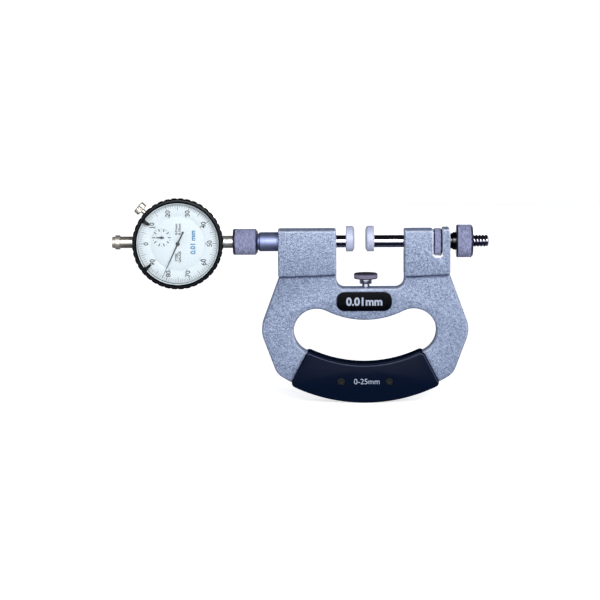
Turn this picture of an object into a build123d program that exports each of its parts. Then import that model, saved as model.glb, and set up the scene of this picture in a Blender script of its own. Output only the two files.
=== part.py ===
from math import atan2, cos, degrees, hypot, pi, radians, sin, sqrt
import os

from build123d import *

os.makedirs("parts", exist_ok=True)

# Dial snap gauge, millimetres. The origin is where the measuring line meets the left anvil's face.
# +X runs along the measuring line to the adjustable spindle, +Z is up, the dial faces -Y.

# Fits
RUNNING = 0.03  # radial gap of a shaft in its bush
SEAT = 0.01  # radial gap of parts pressed or screwed together
TOUCH = 0.05  # gap left where a moving part rests on a stop
PASSING = 0.1  # radial gap of a screw in a plain hole
THROUGH = 1.0  # how far a cut runs past the surface that it opens

# Measuring line
rod_d = 8.0
disc_d = 16.6
disc_t = 4.0
disc_rise = 1.8  # the discs stand this far above the measuring line
disc_chamfer = 0.4
tip_t = 1.5
tip_chamfer = 1.1
tip_taper = 1.65  # how much smaller the tip's face is than its rim, radially
range_max = 25.0
gap_rest = 7.0
anvil_retract = 2.0
anvil_reach = 11.65  # from the left block's face to the anvil's measuring face
spigot_d = 5.0
spigot_l = 3.0

# Frame casting
throat_w = 43.25
throat_floor_z = -29.4
throat_corner_r = 5.5
left_block_l = 37.15
right_block_l = 29.3
block_depth = 20.0
block_top_z = 7.8
block_foot_z = -20.5
block_foot_drop = 1.3  # how much lower each block ends at its left side
bow_t = 14.0
bow_z = 3.0  # height of the centre of the grip's arcs
bow_shift = 0.6  # of the bow from the middle of the two blocks
shoulder_half_w = 54.0
cheek_half_w = 67.1
cheek_z = -56.2
cheek_r = 17.0
heel_half_w = 56.4
heel_r = 12.0
bow_outer_r = 104.2
lobe_r = 14.6
lobe_x = 31.0
lobe_z = -57.2
bulge_r = 55.0
tab_l = 4.9
tab_rise = 0.6
rod_clear = 0.3  # round the threaded spindle in the right block
edge_r = 1.0
bow_edge_r = 1.2

# Badge plate and grip covers
badge_w = 35.2
badge_h = 12.2
badge_r = 5.0
badge_t = 0.6
badge_z = -37.9
grip_lap_top = 1.1  # how far the covers reach past the bow's bottom, at its inner and outer side
grip_lap_bottom = 1.8
grip_half_angle = 27.0
grip_wall = 3.2
grip_corner_r = 3.0
grip_edge_r = 1.5
grip_gap = 0.15
screw_drop = 0.2  # grip screws below the middle of the bow's bottom
screw_spread = 31.0
grip_screw_d = 3.0
grip_head_d = 5.0
grip_head_t = 1.8
grip_recess = 1.2
screw_end_depth = 0.6  # grip screws end this far below the rear cover's face
nut_d = 5.0
nut_l = 2.2

# Anvil side
bush_d = 12.0
anvil_bush_l = 16.85
anvil_tail = 38.35  # length of the anvil spindle behind the left block's face
collar_t = 2.0
collar_d = 11.0
spring_wire = 0.9
spring_d = 9.9
spring_turns = 5
key_d = 3.0
key_depth = 1.2
key_thread_d = 5.0
key_sink = 0.4  # of the key screws below the block's rear face
key_clear = 0.2
key_slot_w = 0.8
anvil_key_x = 6.35  # from the left block's face to the key screw
sleeve_d = 12.3
sleeve_l = 12.3
shank_l = 7.8
spigot_thread_d = 10.4
spigot_thread_l = 8.4
nut_gap = 0.5
stem_nut_d = 16.8
stem_nut_l = 16.0
nut_round = 1.3
nut_cone_l = 1.3
nut_cone_drop = 1.7
collet_d = 9.9
collet_l = 5.4
slit_w = 0.6

# Adjustable side
spindle_l = 73.0
thread_d = 7.8
thread_l = 54.6
spindle_bush_l = 17.6
spindle_key_x = 4.4
wheel_d = 16.7
wheel_w = 5.5
wheel_chamfer = 0.9
slot_w = 6.0
slot_clear = 0.4
slot_corner_r = 1.5
neck_d = 9.8
flare_d = 11.3
neck_l = 4.0
flare_l = 2.0
neck_thread_l = 5.0
nose_l = 3.4
clamp_nut_d = 21.1
clamp_nut_l = 10.6
clamp_mouth_d = 8.6

# Work stop
stop_x = 7.2
stop_d = 5.0
stop_screw_l = 14.8
stop_neck = 2.2
stop_collar_d = 8.4
stop_collar_t = 3.2
stop_knob_d = 15.3
stop_knob_t = 3.5
stop_knob_chamfer = 0.5
stop_collar_round = 0.8

# Dial indicator: its centre, and places along Y from the stem axis
dial_x = -112.4
stem_d = 8.0
stem_end_x = -63.0
plunger_d = 4.8
case_r = 26.8
case_wall = 1.6
case_front = -8.0
case_back = 8.0
spigot_front = -9.5
spigot_wall = 0.6  # of the case's front rim, which carries the bezel
bezel_overhang = 2.1  # radially, of the bezel beyond the case
bezel_front = -14.5
bezel_back = -8.2
opening_inset = 1.5  # of the bezel's opening from the case's outside
scallops = 40
scallop_r = 1.2
scallop_depth = 0.5
crystal_t = 1.0
crystal_front = -12.7
dial_front = -10.2
dial_t = 0.6
dial_split_r = 17.15
boss_d = 12.0
tube_d = 7.5
tube_l = 10.0
cap_flange_d = 9.2
cap_flange_t = 3.5
cap_end_d = 7.3
cap_end_t = 2.0
cover_t = 1.4
cover_chamfer = 0.5
cover_inset = 1.2  # of the back cover from the case's outside
cover_screw_inset = 3.8
cover_post_r = 2.4
cover_screw_d = 1.6
lug_t = 5.0
lug_r = 5.4
lug_hole_d = 6.5
lug_reach = 5.6
ledge_w = 2.0
ledge_t = 0.8
clamp_boss_r = 3.4
clamp_boss_l = 3.6
clamp_shank_r = 1.5
clamp_root = 1.8  # inner end of the bezel's clamp screw, inside the case's outside
cover_head_r = 1.5
cover_head_t = 0.8
post_hole_l = 2.6

# Indicator movement
rack_pitch = 0.625
pinion_teeth = 16
gear_teeth = 100
centre_teeth = 10
gear_module = 0.2
pinion_drop = 3.6
counter_rise = 3.9
gear_t = 0.6
gear_y = -5.1
plate_t = 1.0
plate_front = -7.4
bridge_y = -3.2
bridge_t = 0.8
rear_plate_y = 4.9
pillar_x = 3.5
pillar_z = 9.0
pillar_r = 1.3
bridge_end_r = 2.0
bridge_hub_r = 3.0
bridge_arm_r = 2.2
dial_foot_pitch_r = 14.0
dial_foot_r = 1.0
arbor_d = 1.2
pivot_r = 0.4
guide_pin_r = 0.6
contact_l = 5.0
point_shank_r = 1.25
point_shank_l = 3.0
ball_r = 1.5
pin_back = 13.0
rack_travel = 10.0
rack_teeth = 21
tooth_tip = 0.9  # height of a tooth above and below the pitch line, in modules
tooth_root = 1.25
tip_share = 0.13  # half width of a tooth at its tip and root, as a share of the pitch
root_share = 0.36
hand_tip_gap = 1.4  # from the main hand's tip to the bezel's opening
hand_tail = 8.6
hand_angle = 245.3
hand_t = 0.2
hand_y = -11.1
counter_hand_y = -10.6
counter_tip = 3.9
marker_reach = 4.0  # of a limit marker from the bezel's opening inwards
marker_w = 1.7
marker_angles = {"limit_marker_low": 217.5, "limit_marker_high": 145.5}
clamp_angle = 137.4
clamp_y = -4.2
clamp_head_d = 7.4
clamp_head_t = 3.5
clamp_chamfer = 0.4
clamp_rise = 4.2  # underside of the clamp screw's head, beyond the case's outside

# Places worked out from the sizes above
left_face_x = -anvil_reach
right_face_x = left_face_x + throat_w
left_end_x = left_face_x - left_block_l
right_end_x = right_face_x + right_block_l
blocks_x = (left_end_x + right_end_x) / 2
bow_x = blocks_x + bow_shift
slot_left_x = right_end_x - tab_l - slot_w
slot_right_x = slot_left_x + slot_w
half_block = block_depth / 2
half_bow = bow_t / 2
bow_inner_r = lobe_r + hypot(lobe_x, bow_z - lobe_z)
grip_top_r = bow_inner_r - grip_lap_top
grip_bottom_r = bow_outer_r + grip_lap_bottom
screw_pitch_r = (bow_inner_r + bow_outer_r) / 2 + screw_drop
grip_front = half_bow + grip_wall
spindle_disc_x = gap_rest + tip_t
spindle_rod_x = spindle_disc_x + disc_t
spindle_end_x = spindle_rod_x + spindle_l
open_travel = range_max - gap_rest
bush_end_x = left_face_x - anvil_bush_l
sleeve_left_x = left_end_x - sleeve_l
nut_right_x = sleeve_left_x - nut_gap
nut_left_x = nut_right_x - stem_nut_l
anvil_end_x = left_face_x - anvil_tail
arm = gear_module * (gear_teeth + centre_teeth) / 2
rack_gear_x = dial_x + sqrt(arm**2 - pinion_drop**2)
counter_x = dial_x - sqrt(arm**2 - counter_rise**2)
pinion_r = pinion_teeth * rack_pitch / (2 * pi)
case_in = case_r - case_wall
spigot_r = case_in + spigot_wall
bezel_r = case_r + bezel_overhang
opening_r = case_r - opening_inset
hand_tip = opening_r - hand_tip_gap
marker_tip_r = opening_r - marker_reach
cover_r = case_r - cover_inset
cover_screw_r = case_r - cover_screw_inset
clamp_root_r = case_r - clamp_root
clamp_head_r = case_r + clamp_rise


def plane_x(x):
    """Plane across the measuring line at x, its normal along +X."""
    return Plane(origin=(x, 0, 0), x_dir=(0, 1, 0), z_dir=(1, 0, 0))


def front_plane(x, y, z=0.0):
    """Plane that faces -Y, towards the reader of the dial, with X to the right and Z up."""
    return Plane(origin=(x, y, z), x_dir=(1, 0, 0), z_dir=(0, -1, 0))


def save(part, name):
    """Labels a finished piece and writes its STEP file."""
    part.label = name
    export_step(part, f"parts/{name}.step")


# Frame casting
def grip_screw_places():
    """Places of the two grip screws on a plane through the bow's centre."""
    angle = degrees(screw_spread / 2 / screw_pitch_r)
    return PolarLocations(screw_pitch_r, 2, start_angle=-90 - angle, angular_range=4 * angle)


def bow_window():
    """Finger window of the bow: two round lobes, a bulge between them and the grip's inner arc."""
    bulge_z = lobe_z + sqrt((bulge_r + lobe_r) ** 2 - lobe_x**2)
    up = atan2(bulge_z - lobe_z, -lobe_x)
    down = atan2(lobe_z - bow_z, lobe_x)
    top_right = (lobe_x + lobe_r * cos(up), lobe_z + lobe_r * sin(up))
    low_right = (lobe_x + lobe_r * cos(down), lobe_z + lobe_r * sin(down))
    side = (lobe_x + lobe_r, lobe_z)
    with BuildSketch(Plane.XY, mode=Mode.PRIVATE) as outline:
        with BuildLine():
            ThreePointArc(top_right, (0, bulge_z - bulge_r), (-top_right[0], top_right[1]))
            ThreePointArc((-top_right[0], top_right[1]), (-side[0], side[1]), (-low_right[0], low_right[1]))
            ThreePointArc((-low_right[0], low_right[1]), (0, bow_z - bow_inner_r), low_right)
            ThreePointArc(low_right, side, top_right)
        make_face()
    return outline.sketch


def block_outline(left, right):
    """Side view of one head block, with the sloping foot that overhangs the bow."""
    with BuildSketch(Plane.XY, mode=Mode.PRIVATE) as outline:
        with BuildLine():
            Polyline(
                (left, block_foot_z - block_foot_drop),
                (right, block_foot_z),
                (right, block_top_z),
                (left, block_top_z),
                close=True,
            )
        make_face()
    return outline.sketch


heel_z = bow_z - sqrt(bow_outer_r**2 - heel_half_w**2)
with BuildPart() as bow:
    with BuildSketch(front_plane(bow_x, half_bow)) as bow_outline:
        with BuildLine():
            Polyline(
                (-heel_half_w, heel_z),
                (-cheek_half_w, cheek_z),
                (-shoulder_half_w, block_foot_z),
                (shoulder_half_w, block_foot_z),
                (cheek_half_w, cheek_z),
                (heel_half_w, heel_z),
            )
            ThreePointArc((heel_half_w, heel_z), (0, bow_z - bow_outer_r), (-heel_half_w, heel_z))
        make_face()
        corners = bow_outline.vertices().sort_by(Axis.Y)
        fillet(corners[0:2], heel_r)
        fillet(bow_outline.vertices().sort_by(Axis.X)[0:1], cheek_r)
        fillet(bow_outline.vertices().sort_by(Axis.X)[-1:], cheek_r)
        add(bow_window(), mode=Mode.SUBTRACT)
    extrude(amount=bow_t)
    flat_faces = bow.faces().filter_by(Axis.Y)
    rim = flat_faces.edges().filter_by(lambda e: e.center().Z < block_foot_z - 1)
    fillet(rim, bow_edge_r)

with BuildPart() as frame:
    add(bow.part)
    with BuildSketch(front_plane(0, half_block)):
        add(block_outline(left_end_x, left_face_x))
        add(block_outline(right_face_x, right_end_x))
    extrude(amount=block_depth)
    with BuildSketch(front_plane(0, half_block)):
        with Locations(((slot_right_x + right_end_x) / 2, block_top_z)):
            Rectangle(right_end_x - slot_right_x, 2 * tab_rise)
    extrude(amount=block_depth)
    with BuildSketch(front_plane(0, half_block + THROUGH)):
        with BuildLine():
            FilletPolyline(
                (left_face_x, block_top_z + edge_r + THROUGH),
                (left_face_x, throat_floor_z),
                (right_face_x, throat_floor_z),
                (right_face_x, block_top_z + edge_r + THROUGH),
                radius=throat_corner_r,
            )
            Line((right_face_x, block_top_z + edge_r + THROUGH), (left_face_x, block_top_z + edge_r + THROUGH))
        make_face()
    extrude(amount=block_depth + 2 * THROUGH, mode=Mode.SUBTRACT)
    slot_floor_z = -(wheel_d / 2 + slot_clear)
    with BuildSketch(front_plane(0, half_block + THROUGH)):
        with BuildLine():
            FilletPolyline(
                (slot_left_x, block_top_z + edge_r + THROUGH),
                (slot_left_x, slot_floor_z),
                (slot_right_x, slot_floor_z),
                (slot_right_x, block_top_z + edge_r + THROUGH),
                radius=slot_corner_r,
            )
            Line((slot_right_x, block_top_z + edge_r + THROUGH), (slot_left_x, block_top_z + edge_r + THROUGH))
        make_face()
    extrude(amount=block_depth + 2 * THROUGH, mode=Mode.SUBTRACT)
    tops = frame.faces().filter_by(Axis.Z).filter_by(lambda f: f.center().Z > block_top_z - 1)
    sides = [left_end_x, left_face_x, right_face_x, right_end_x]
    uprights = frame.edges().filter_by(Axis.Z).filter_by(lambda e: e.center().Z > block_foot_z)
    corners = uprights.filter_by(lambda e: min(abs(e.center().X - x) for x in sides) < 0.1)
    tab_ends = tops.edges().filter_by(Axis.Y).sort_by(Axis.Z)[-2:]
    fillet(tops.edges().filter_by(Axis.X) + corners + tab_ends, edge_r)
    with BuildSketch(plane_x(left_end_x)):
        Circle(bush_d / 2 + SEAT)
    extrude(amount=left_block_l, mode=Mode.SUBTRACT)
    with BuildSketch(plane_x(right_face_x)):
        Circle(bush_d / 2 + SEAT)
    extrude(amount=spindle_bush_l, mode=Mode.SUBTRACT)
    with BuildSketch(plane_x(right_face_x)):
        Circle(rod_d / 2 + rod_clear)
    extrude(amount=right_block_l - tab_l, mode=Mode.SUBTRACT)
    with BuildSketch(plane_x(slot_right_x)):
        Circle(neck_d / 2 + SEAT)
    extrude(amount=tab_l, mode=Mode.SUBTRACT)
    for key_x in (left_face_x - anvil_key_x, right_face_x + spindle_key_x):
        with BuildSketch(front_plane(key_x, half_block)):
            Circle(key_thread_d / 2 + SEAT)
        extrude(amount=half_block - bush_d / 4, mode=Mode.SUBTRACT)
    with BuildSketch(Plane.XY.offset(throat_floor_z)):
        with Locations((stop_x, 0)):
            Circle(stop_d / 2 + RUNNING)
    extrude(amount=-stop_screw_l, mode=Mode.SUBTRACT)
    with BuildSketch(front_plane(bow_x, half_bow + THROUGH, bow_z)):
        with grip_screw_places():
            Circle(grip_screw_d / 2 + PASSING)
    extrude(amount=bow_t + 2 * THROUGH, mode=Mode.SUBTRACT)
save(frame.part, "frame")

with BuildPart() as badge_plate:
    with BuildSketch(front_plane(blocks_x, -half_bow, badge_z)):
        RectangleRounded(badge_w, badge_h, badge_r)
    extrude(amount=badge_t)
    fillet(badge_plate.faces().sort_by(Axis.Y)[0].edges(), badge_t / 3)
save(badge_plate.part, "badge_plate")


# Grip covers: two shells that close round the bow, and the screws that hold them
def grip_sector(inner, outer, half_angle):
    """Ring sector about the bow's centre, symmetric about straight down."""
    ends = [radians(-90 - half_angle), radians(-90 + half_angle)]
    inside = [(inner * cos(a), inner * sin(a)) for a in ends]
    outside = [(outer * cos(a), outer * sin(a)) for a in ends]
    with BuildSketch(Plane.XY, mode=Mode.PRIVATE) as sector:
        with BuildLine():
            ThreePointArc(inside[0], (0, -inner), inside[1])
            Line(inside[1], outside[1])
            ThreePointArc(outside[1], (0, -outer), outside[0])
            Line(outside[0], inside[0])
        make_face()
    return sector.sketch


def grip_cover(side):
    """One grip cover; side is -1 for the front and 1 for the rear."""
    facing = Plane(origin=(bow_x, 0, bow_z), x_dir=(1, 0, 0) if side < 0 else (-1, 0, 0), z_dir=(0, side, 0))
    with BuildPart() as cover:
        with BuildSketch(facing) as outline:
            add(grip_sector(grip_top_r, grip_bottom_r, grip_half_angle))
            fillet(outline.vertices(), grip_corner_r)
        extrude(amount=grip_front)
        outer_face = cover.faces().filter_by(Axis.Y).sort_by(Axis.Y)[0 if side < 0 else -1]
        fillet(outer_face.edges(), grip_edge_r)
        with BuildSketch(facing):
            add(grip_sector(bow_inner_r - grip_gap, bow_outer_r + grip_gap, grip_half_angle + 4))
        extrude(amount=half_bow + grip_gap, mode=Mode.SUBTRACT)
        with BuildSketch(facing.offset(half_bow)):
            with grip_screw_places():
                Circle(grip_screw_d / 2 + PASSING if side < 0 else nut_d / 2 + SEAT)
        extrude(amount=grip_wall + THROUGH, mode=Mode.SUBTRACT)
        if side < 0:
            with BuildSketch(facing.offset(grip_front)):
                with grip_screw_places():
                    Circle(grip_head_d / 2 + PASSING)
            extrude(amount=-grip_recess - grip_head_t / 2, mode=Mode.SUBTRACT)
    return cover.part


save(grip_cover(-1), "front_grip")
save(grip_cover(1), "rear_grip")

head_y = -grip_front + grip_recess + grip_head_t / 2
screw_end_y = grip_front - screw_end_depth
with BuildPart() as grip_screws:
    with BuildSketch(front_plane(bow_x, head_y, bow_z)):
        with grip_screw_places():
            Circle(grip_head_d / 2)
    extrude(amount=grip_head_t / 2)
    with BuildSketch(front_plane(bow_x, screw_end_y, bow_z)):
        with grip_screw_places():
            Circle(grip_screw_d / 2)
    extrude(amount=screw_end_y - head_y)
save(grip_screws.part, "grip_screws")

with BuildPart() as grip_nuts:
    with BuildSketch(front_plane(bow_x, screw_end_y, bow_z)):
        with grip_screw_places():
            Circle(nut_d / 2)
            Circle(grip_screw_d / 2 + SEAT, mode=Mode.SUBTRACT)
    extrude(amount=nut_l)
save(grip_nuts.part, "grip_nuts")


# Turned pieces on the measuring line
def turned(points):
    """Solid of revolution about the measuring line from (x, radius) points."""
    with BuildPart() as piece:
        with BuildSketch(Plane.XZ):
            with BuildLine():
                Polyline(*points, close=True)
            make_face()
        revolve(axis=Axis.X)
    return piece.part


def bush(x, length, bore_r, outer_r):
    """Plain guide bush."""
    return turned([(x, bore_r), (x + length, bore_r), (x + length, outer_r), (x, outer_r)])


def keyed_rod(x0, x1, shoulders, slot_x0, slot_x1):
    """Spindle with a keyway along its rear side; shoulders are (x, radius) points from left to right."""
    with BuildPart() as rod:
        add(turned([(x0, 0), *shoulders, (x1, 0)]))
        with BuildSketch(Plane.XY.offset(-key_d / 2 - RUNNING)):
            with Locations(((slot_x0 + slot_x1) / 2, rod_d / 2)):
                Rectangle(slot_x1 - slot_x0, 2 * key_depth)
        extrude(amount=key_d + 2 * RUNNING, mode=Mode.SUBTRACT)
    return rod.part


def disc(x, face_side):
    """Steel disc behind a measuring tip; face_side is 1 if the tip is on its right."""
    with BuildPart() as piece:
        with BuildSketch(plane_x(x)):
            with Locations((0, disc_rise)):
                Circle(disc_d / 2)
            Circle(spigot_d / 2 + SEAT, mode=Mode.SUBTRACT)
        extrude(amount=disc_t)
        back = piece.faces().filter_by(Axis.X).sort_by(Axis.X)[0 if face_side > 0 else -1]
        chamfer(back.edges().sort_by(SortBy.RADIUS)[-1], disc_chamfer)
    return piece.part


def tip(x, face_side):
    """Hard measuring tip with a lead-in chamfer round its face."""
    r = disc_d / 2
    near, far = (x, x + face_side * tip_t)
    shoulder = far - face_side * tip_chamfer
    return Pos(0, 0, disc_rise) * turned([(near, 0), (near, r), (shoulder, r), (far, r - tip_taper), (far, 0)])


def key_screw(x):
    """Set screw in the block's rear face, whose dog point runs in the spindle's keyway."""
    head_y = half_block - key_sink
    dog_end = rod_d / 2 - key_depth + key_clear
    with BuildPart() as screw:
        with BuildSketch(front_plane(x, head_y)):
            Circle(key_thread_d / 2)
        extrude(amount=head_y - bush_d / 2 - key_clear)
        with BuildSketch(front_plane(x, head_y)):
            Circle(key_d / 2)
        extrude(amount=head_y - dog_end)
        with BuildSketch(front_plane(x, head_y)):
            Rectangle(key_thread_d, key_slot_w)
        extrude(amount=1.0, mode=Mode.SUBTRACT)
    return screw.part


def keyed_bush(x, length, key_x):
    """Guide bush with a side hole for the dog point of its key screw."""
    with BuildPart() as piece:
        add(bush(x, length, rod_d / 2 + RUNNING, bush_d / 2))
        with BuildSketch(front_plane(key_x, bush_d)):
            Circle(key_d / 2 + SEAT)
        extrude(amount=bush_d, mode=Mode.SUBTRACT)
    return piece.part


def coil(x, length, coil_d, wire, turns):
    """Compression spring round the measuring line."""
    rise = length - wire - 2 * TOUCH
    start = (x + wire / 2 + TOUCH, 0, 0)
    with BuildPart() as spring:
        with BuildLine():
            route = Helix(pitch=rise / turns, height=rise, radius=coil_d / 2, center=start, direction=(1, 0, 0))
        with BuildSketch(Plane(origin=route @ 0, z_dir=route % 0)):
            Circle(wire / 2)
        sweep(path=route)
    return spring.part


# Anvil side
anvil_key = left_face_x - anvil_key_x
anvil_shoulders = [
    (anvil_end_x, rod_d / 2 - 0.5),
    (anvil_end_x + 0.5, rod_d / 2),
    (-tip_t - disc_t, rod_d / 2),
    (-tip_t - disc_t, spigot_d / 2),
    (-tip_t - disc_t + spigot_l, spigot_d / 2),
]
key_room = key_d / 2 + 0.3
anvil_spindle = keyed_rod(
    anvil_end_x,
    -tip_t - disc_t + spigot_l,
    anvil_shoulders,
    anvil_key - key_room,
    anvil_key + anvil_retract + key_room,
)
save(anvil_spindle, "anvil_spindle")
save(disc(-tip_t - disc_t, 1), "anvil_disc")
save(tip(-tip_t, 1), "anvil_tip")
collar_x = bush_end_x - TOUCH - collar_t
save(bush(collar_x, collar_t, rod_d / 2 + SEAT, collar_d / 2), "anvil_collar")
save(keyed_bush(bush_end_x, anvil_bush_l, anvil_key), "anvil_guide_bush")
save(key_screw(anvil_key), "anvil_key_screw")
shank_end_x = left_end_x + shank_l
save(coil(shank_end_x, collar_x - shank_end_x, spring_d, spring_wire, spring_turns), "anvil_spring")

groove_r = spigot_thread_d / 2
anvil_sleeve = turned(
    [
        (nut_right_x - spigot_thread_l, rod_d / 2 + 0.08),
        (shank_end_x, rod_d / 2 + 0.08),
        (shank_end_x, bush_d / 2),
        (left_end_x, bush_d / 2),
        (left_end_x, sleeve_d / 2),
        (sleeve_left_x + 1.2, sleeve_d / 2),
        (sleeve_left_x, groove_r),
        (nut_right_x - spigot_thread_l, groove_r),
    ]
)
save(anvil_sleeve, "anvil_sleeve")

collet_right_x = nut_right_x - spigot_thread_l
with BuildPart() as stem_collet:
    add(bush(collet_right_x - collet_l, collet_l, stem_d / 2 + SEAT, collet_d / 2))
    with BuildSketch(plane_x(collet_right_x - collet_l)):
        Rectangle(collet_d + 1, slit_w)
        Rectangle(slit_w, collet_d + 1)
    extrude(amount=0.75 * collet_l, mode=Mode.SUBTRACT)
save(stem_collet.part, "stem_collet")

nut_cavity_x = collet_right_x - collet_l - TOUCH
with BuildPart() as stem_clamp_nut:
    outer_r = stem_nut_d / 2
    add(
        turned(
            [
                (nut_left_x, stem_d / 2 + 0.25),
                (nut_cavity_x, stem_d / 2 + 0.25),
                (nut_cavity_x, groove_r + RUNNING),
                (nut_right_x, groove_r + RUNNING),
                (nut_right_x, outer_r - nut_cone_drop),
                (nut_right_x - nut_cone_l, outer_r),
                (nut_left_x, outer_r),
            ]
        )
    )
    left_rim = stem_clamp_nut.edges().filter_by(GeomType.CIRCLE).sort_by(SortBy.RADIUS)
    fillet(left_rim.group_by(SortBy.RADIUS)[-1].sort_by(Axis.X)[0], nut_round)
save(stem_clamp_nut.part, "stem_clamp_nut")

# Adjustable side
spindle_key = right_face_x + spindle_key_x
thread_x = spindle_end_x - thread_l
spindle = keyed_rod(
    spindle_rod_x - spigot_l,
    spindle_end_x,
    [
        (spindle_rod_x - spigot_l, spigot_d / 2),
        (spindle_rod_x, spigot_d / 2),
        (spindle_rod_x, rod_d / 2),
        (thread_x, rod_d / 2),
        (thread_x, thread_d / 2),
        (spindle_end_x - 0.8, thread_d / 2),
        (spindle_end_x, thread_d / 2 - 0.8),
    ],
    spindle_key - open_travel - key_room,
    spindle_key + gap_rest + key_room,
)
save(spindle, "spindle")
save(disc(spindle_disc_x, -1), "spindle_disc")
save(tip(spindle_disc_x, -1), "spindle_tip")
save(keyed_bush(right_face_x, spindle_bush_l, spindle_key), "spindle_guide_bush")
save(key_screw(spindle_key), "spindle_key_screw")

wheel_x = (slot_left_x + slot_right_x - wheel_w) / 2
wheel_r = wheel_d / 2
feed_wheel = turned(
    [
        (wheel_x, thread_d / 2 + 0.08),
        (wheel_x + wheel_w, thread_d / 2 + 0.08),
        (wheel_x + wheel_w, wheel_r - wheel_chamfer),
        (wheel_x + wheel_w - wheel_chamfer, wheel_r),
        (wheel_x + wheel_chamfer, wheel_r),
        (wheel_x, wheel_r - wheel_chamfer),
    ]
)
save(feed_wheel, "feed_wheel")

clamp_nut_x = right_end_x + neck_l
neck_thread_end = clamp_nut_x + neck_thread_l
with BuildPart() as clamp_collet:
    add(
        turned(
            [
                (slot_right_x + 0.2, thread_d / 2 + 0.1),
                (neck_thread_end + nose_l, thread_d / 2 + 0.1),
                (neck_thread_end + nose_l, neck_d / 2 - 0.2),
                (neck_thread_end, flare_d / 2),
                (right_end_x + flare_l, flare_d / 2),
                (right_end_x + flare_l - 0.6, neck_d / 2),
                (slot_right_x + 0.2, neck_d / 2),
            ]
        )
    )
    with BuildSketch(plane_x(clamp_nut_x + 1)):
        Rectangle(flare_d + 1, slit_w)
        Rectangle(slit_w, flare_d + 1)
    extrude(amount=neck_thread_l + nose_l, mode=Mode.SUBTRACT)
save(clamp_collet.part, "clamp_collet")

with BuildPart() as clamp_nut:
    nut_end_x = clamp_nut_x + clamp_nut_l
    bore_r = flare_d / 2 + RUNNING
    add(
        turned(
            [
                (clamp_nut_x, bore_r),
                (neck_thread_end, bore_r),
                (neck_thread_end + nose_l, neck_d / 2 - 0.2 + RUNNING),
                (neck_thread_end + nose_l, clamp_mouth_d / 2),
                (nut_end_x, clamp_mouth_d / 2),
                (nut_end_x, clamp_nut_d / 2 - 1.2),
                (nut_end_x - 1.2, clamp_nut_d / 2),
                (clamp_nut_x, clamp_nut_d / 2),
            ]
        )
    )
    rims = clamp_nut.edges().filter_by(GeomType.CIRCLE).filter_by(lambda e: e.radius > clamp_nut_d / 2 - 0.01)
    fillet(rims.sort_by(Axis.X)[0], 0.8)
save(clamp_nut.part, "clamp_nut")

# Work stop in the floor of the throat
collar_foot_z = throat_floor_z + stop_neck
with BuildPart() as stop_screw:
    with BuildSketch(Plane.XY.offset(collar_foot_z)):
        with Locations((stop_x, 0)):
            Circle(stop_collar_d / 2)
    extrude(amount=stop_collar_t)
    fillet(stop_screw.edges().sort_by(Axis.Z)[0], stop_collar_round)
    with BuildSketch(Plane.XY.offset(collar_foot_z)):
        with Locations((stop_x, 0)):
            Circle(stop_d / 2)
    extrude(amount=stop_neck - stop_screw_l)
save(stop_screw.part, "stop_screw")

with BuildPart() as stop_knob:
    with BuildSketch(Plane.XY.offset(collar_foot_z + stop_collar_t + SEAT)):
        with Locations((stop_x, 0)):
            Circle(stop_knob_d / 2)
    extrude(amount=stop_knob_t)
    chamfer(stop_knob.edges().filter_by(GeomType.CIRCLE), stop_knob_chamfer)
save(stop_knob.part, "stop_knob")


# Dial indicator shells, turned about the dial's own axis
def spun(points):
    """Solid of revolution about the dial axis from (radius, y) points."""
    with BuildPart() as piece:
        with BuildSketch(Plane(origin=(dial_x, 0, 0), x_dir=(1, 0, 0), z_dir=(0, 0, 1))):
            with BuildLine():
                Polyline(*points, close=True)
            make_face()
        revolve(axis=Axis((dial_x, 0, 0), (0, 1, 0)))
    return piece.part


def radial_plane(angle, radius, y):
    """Plane across a ray from the dial's centre, its normal pointing outwards."""
    direction = (cos(radians(angle)), 0, sin(radians(angle)))
    centre = (dial_x + radius * direction[0], y, radius * direction[2])
    return Plane(origin=centre, x_dir=(0, 1, 0), z_dir=direction)


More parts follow.
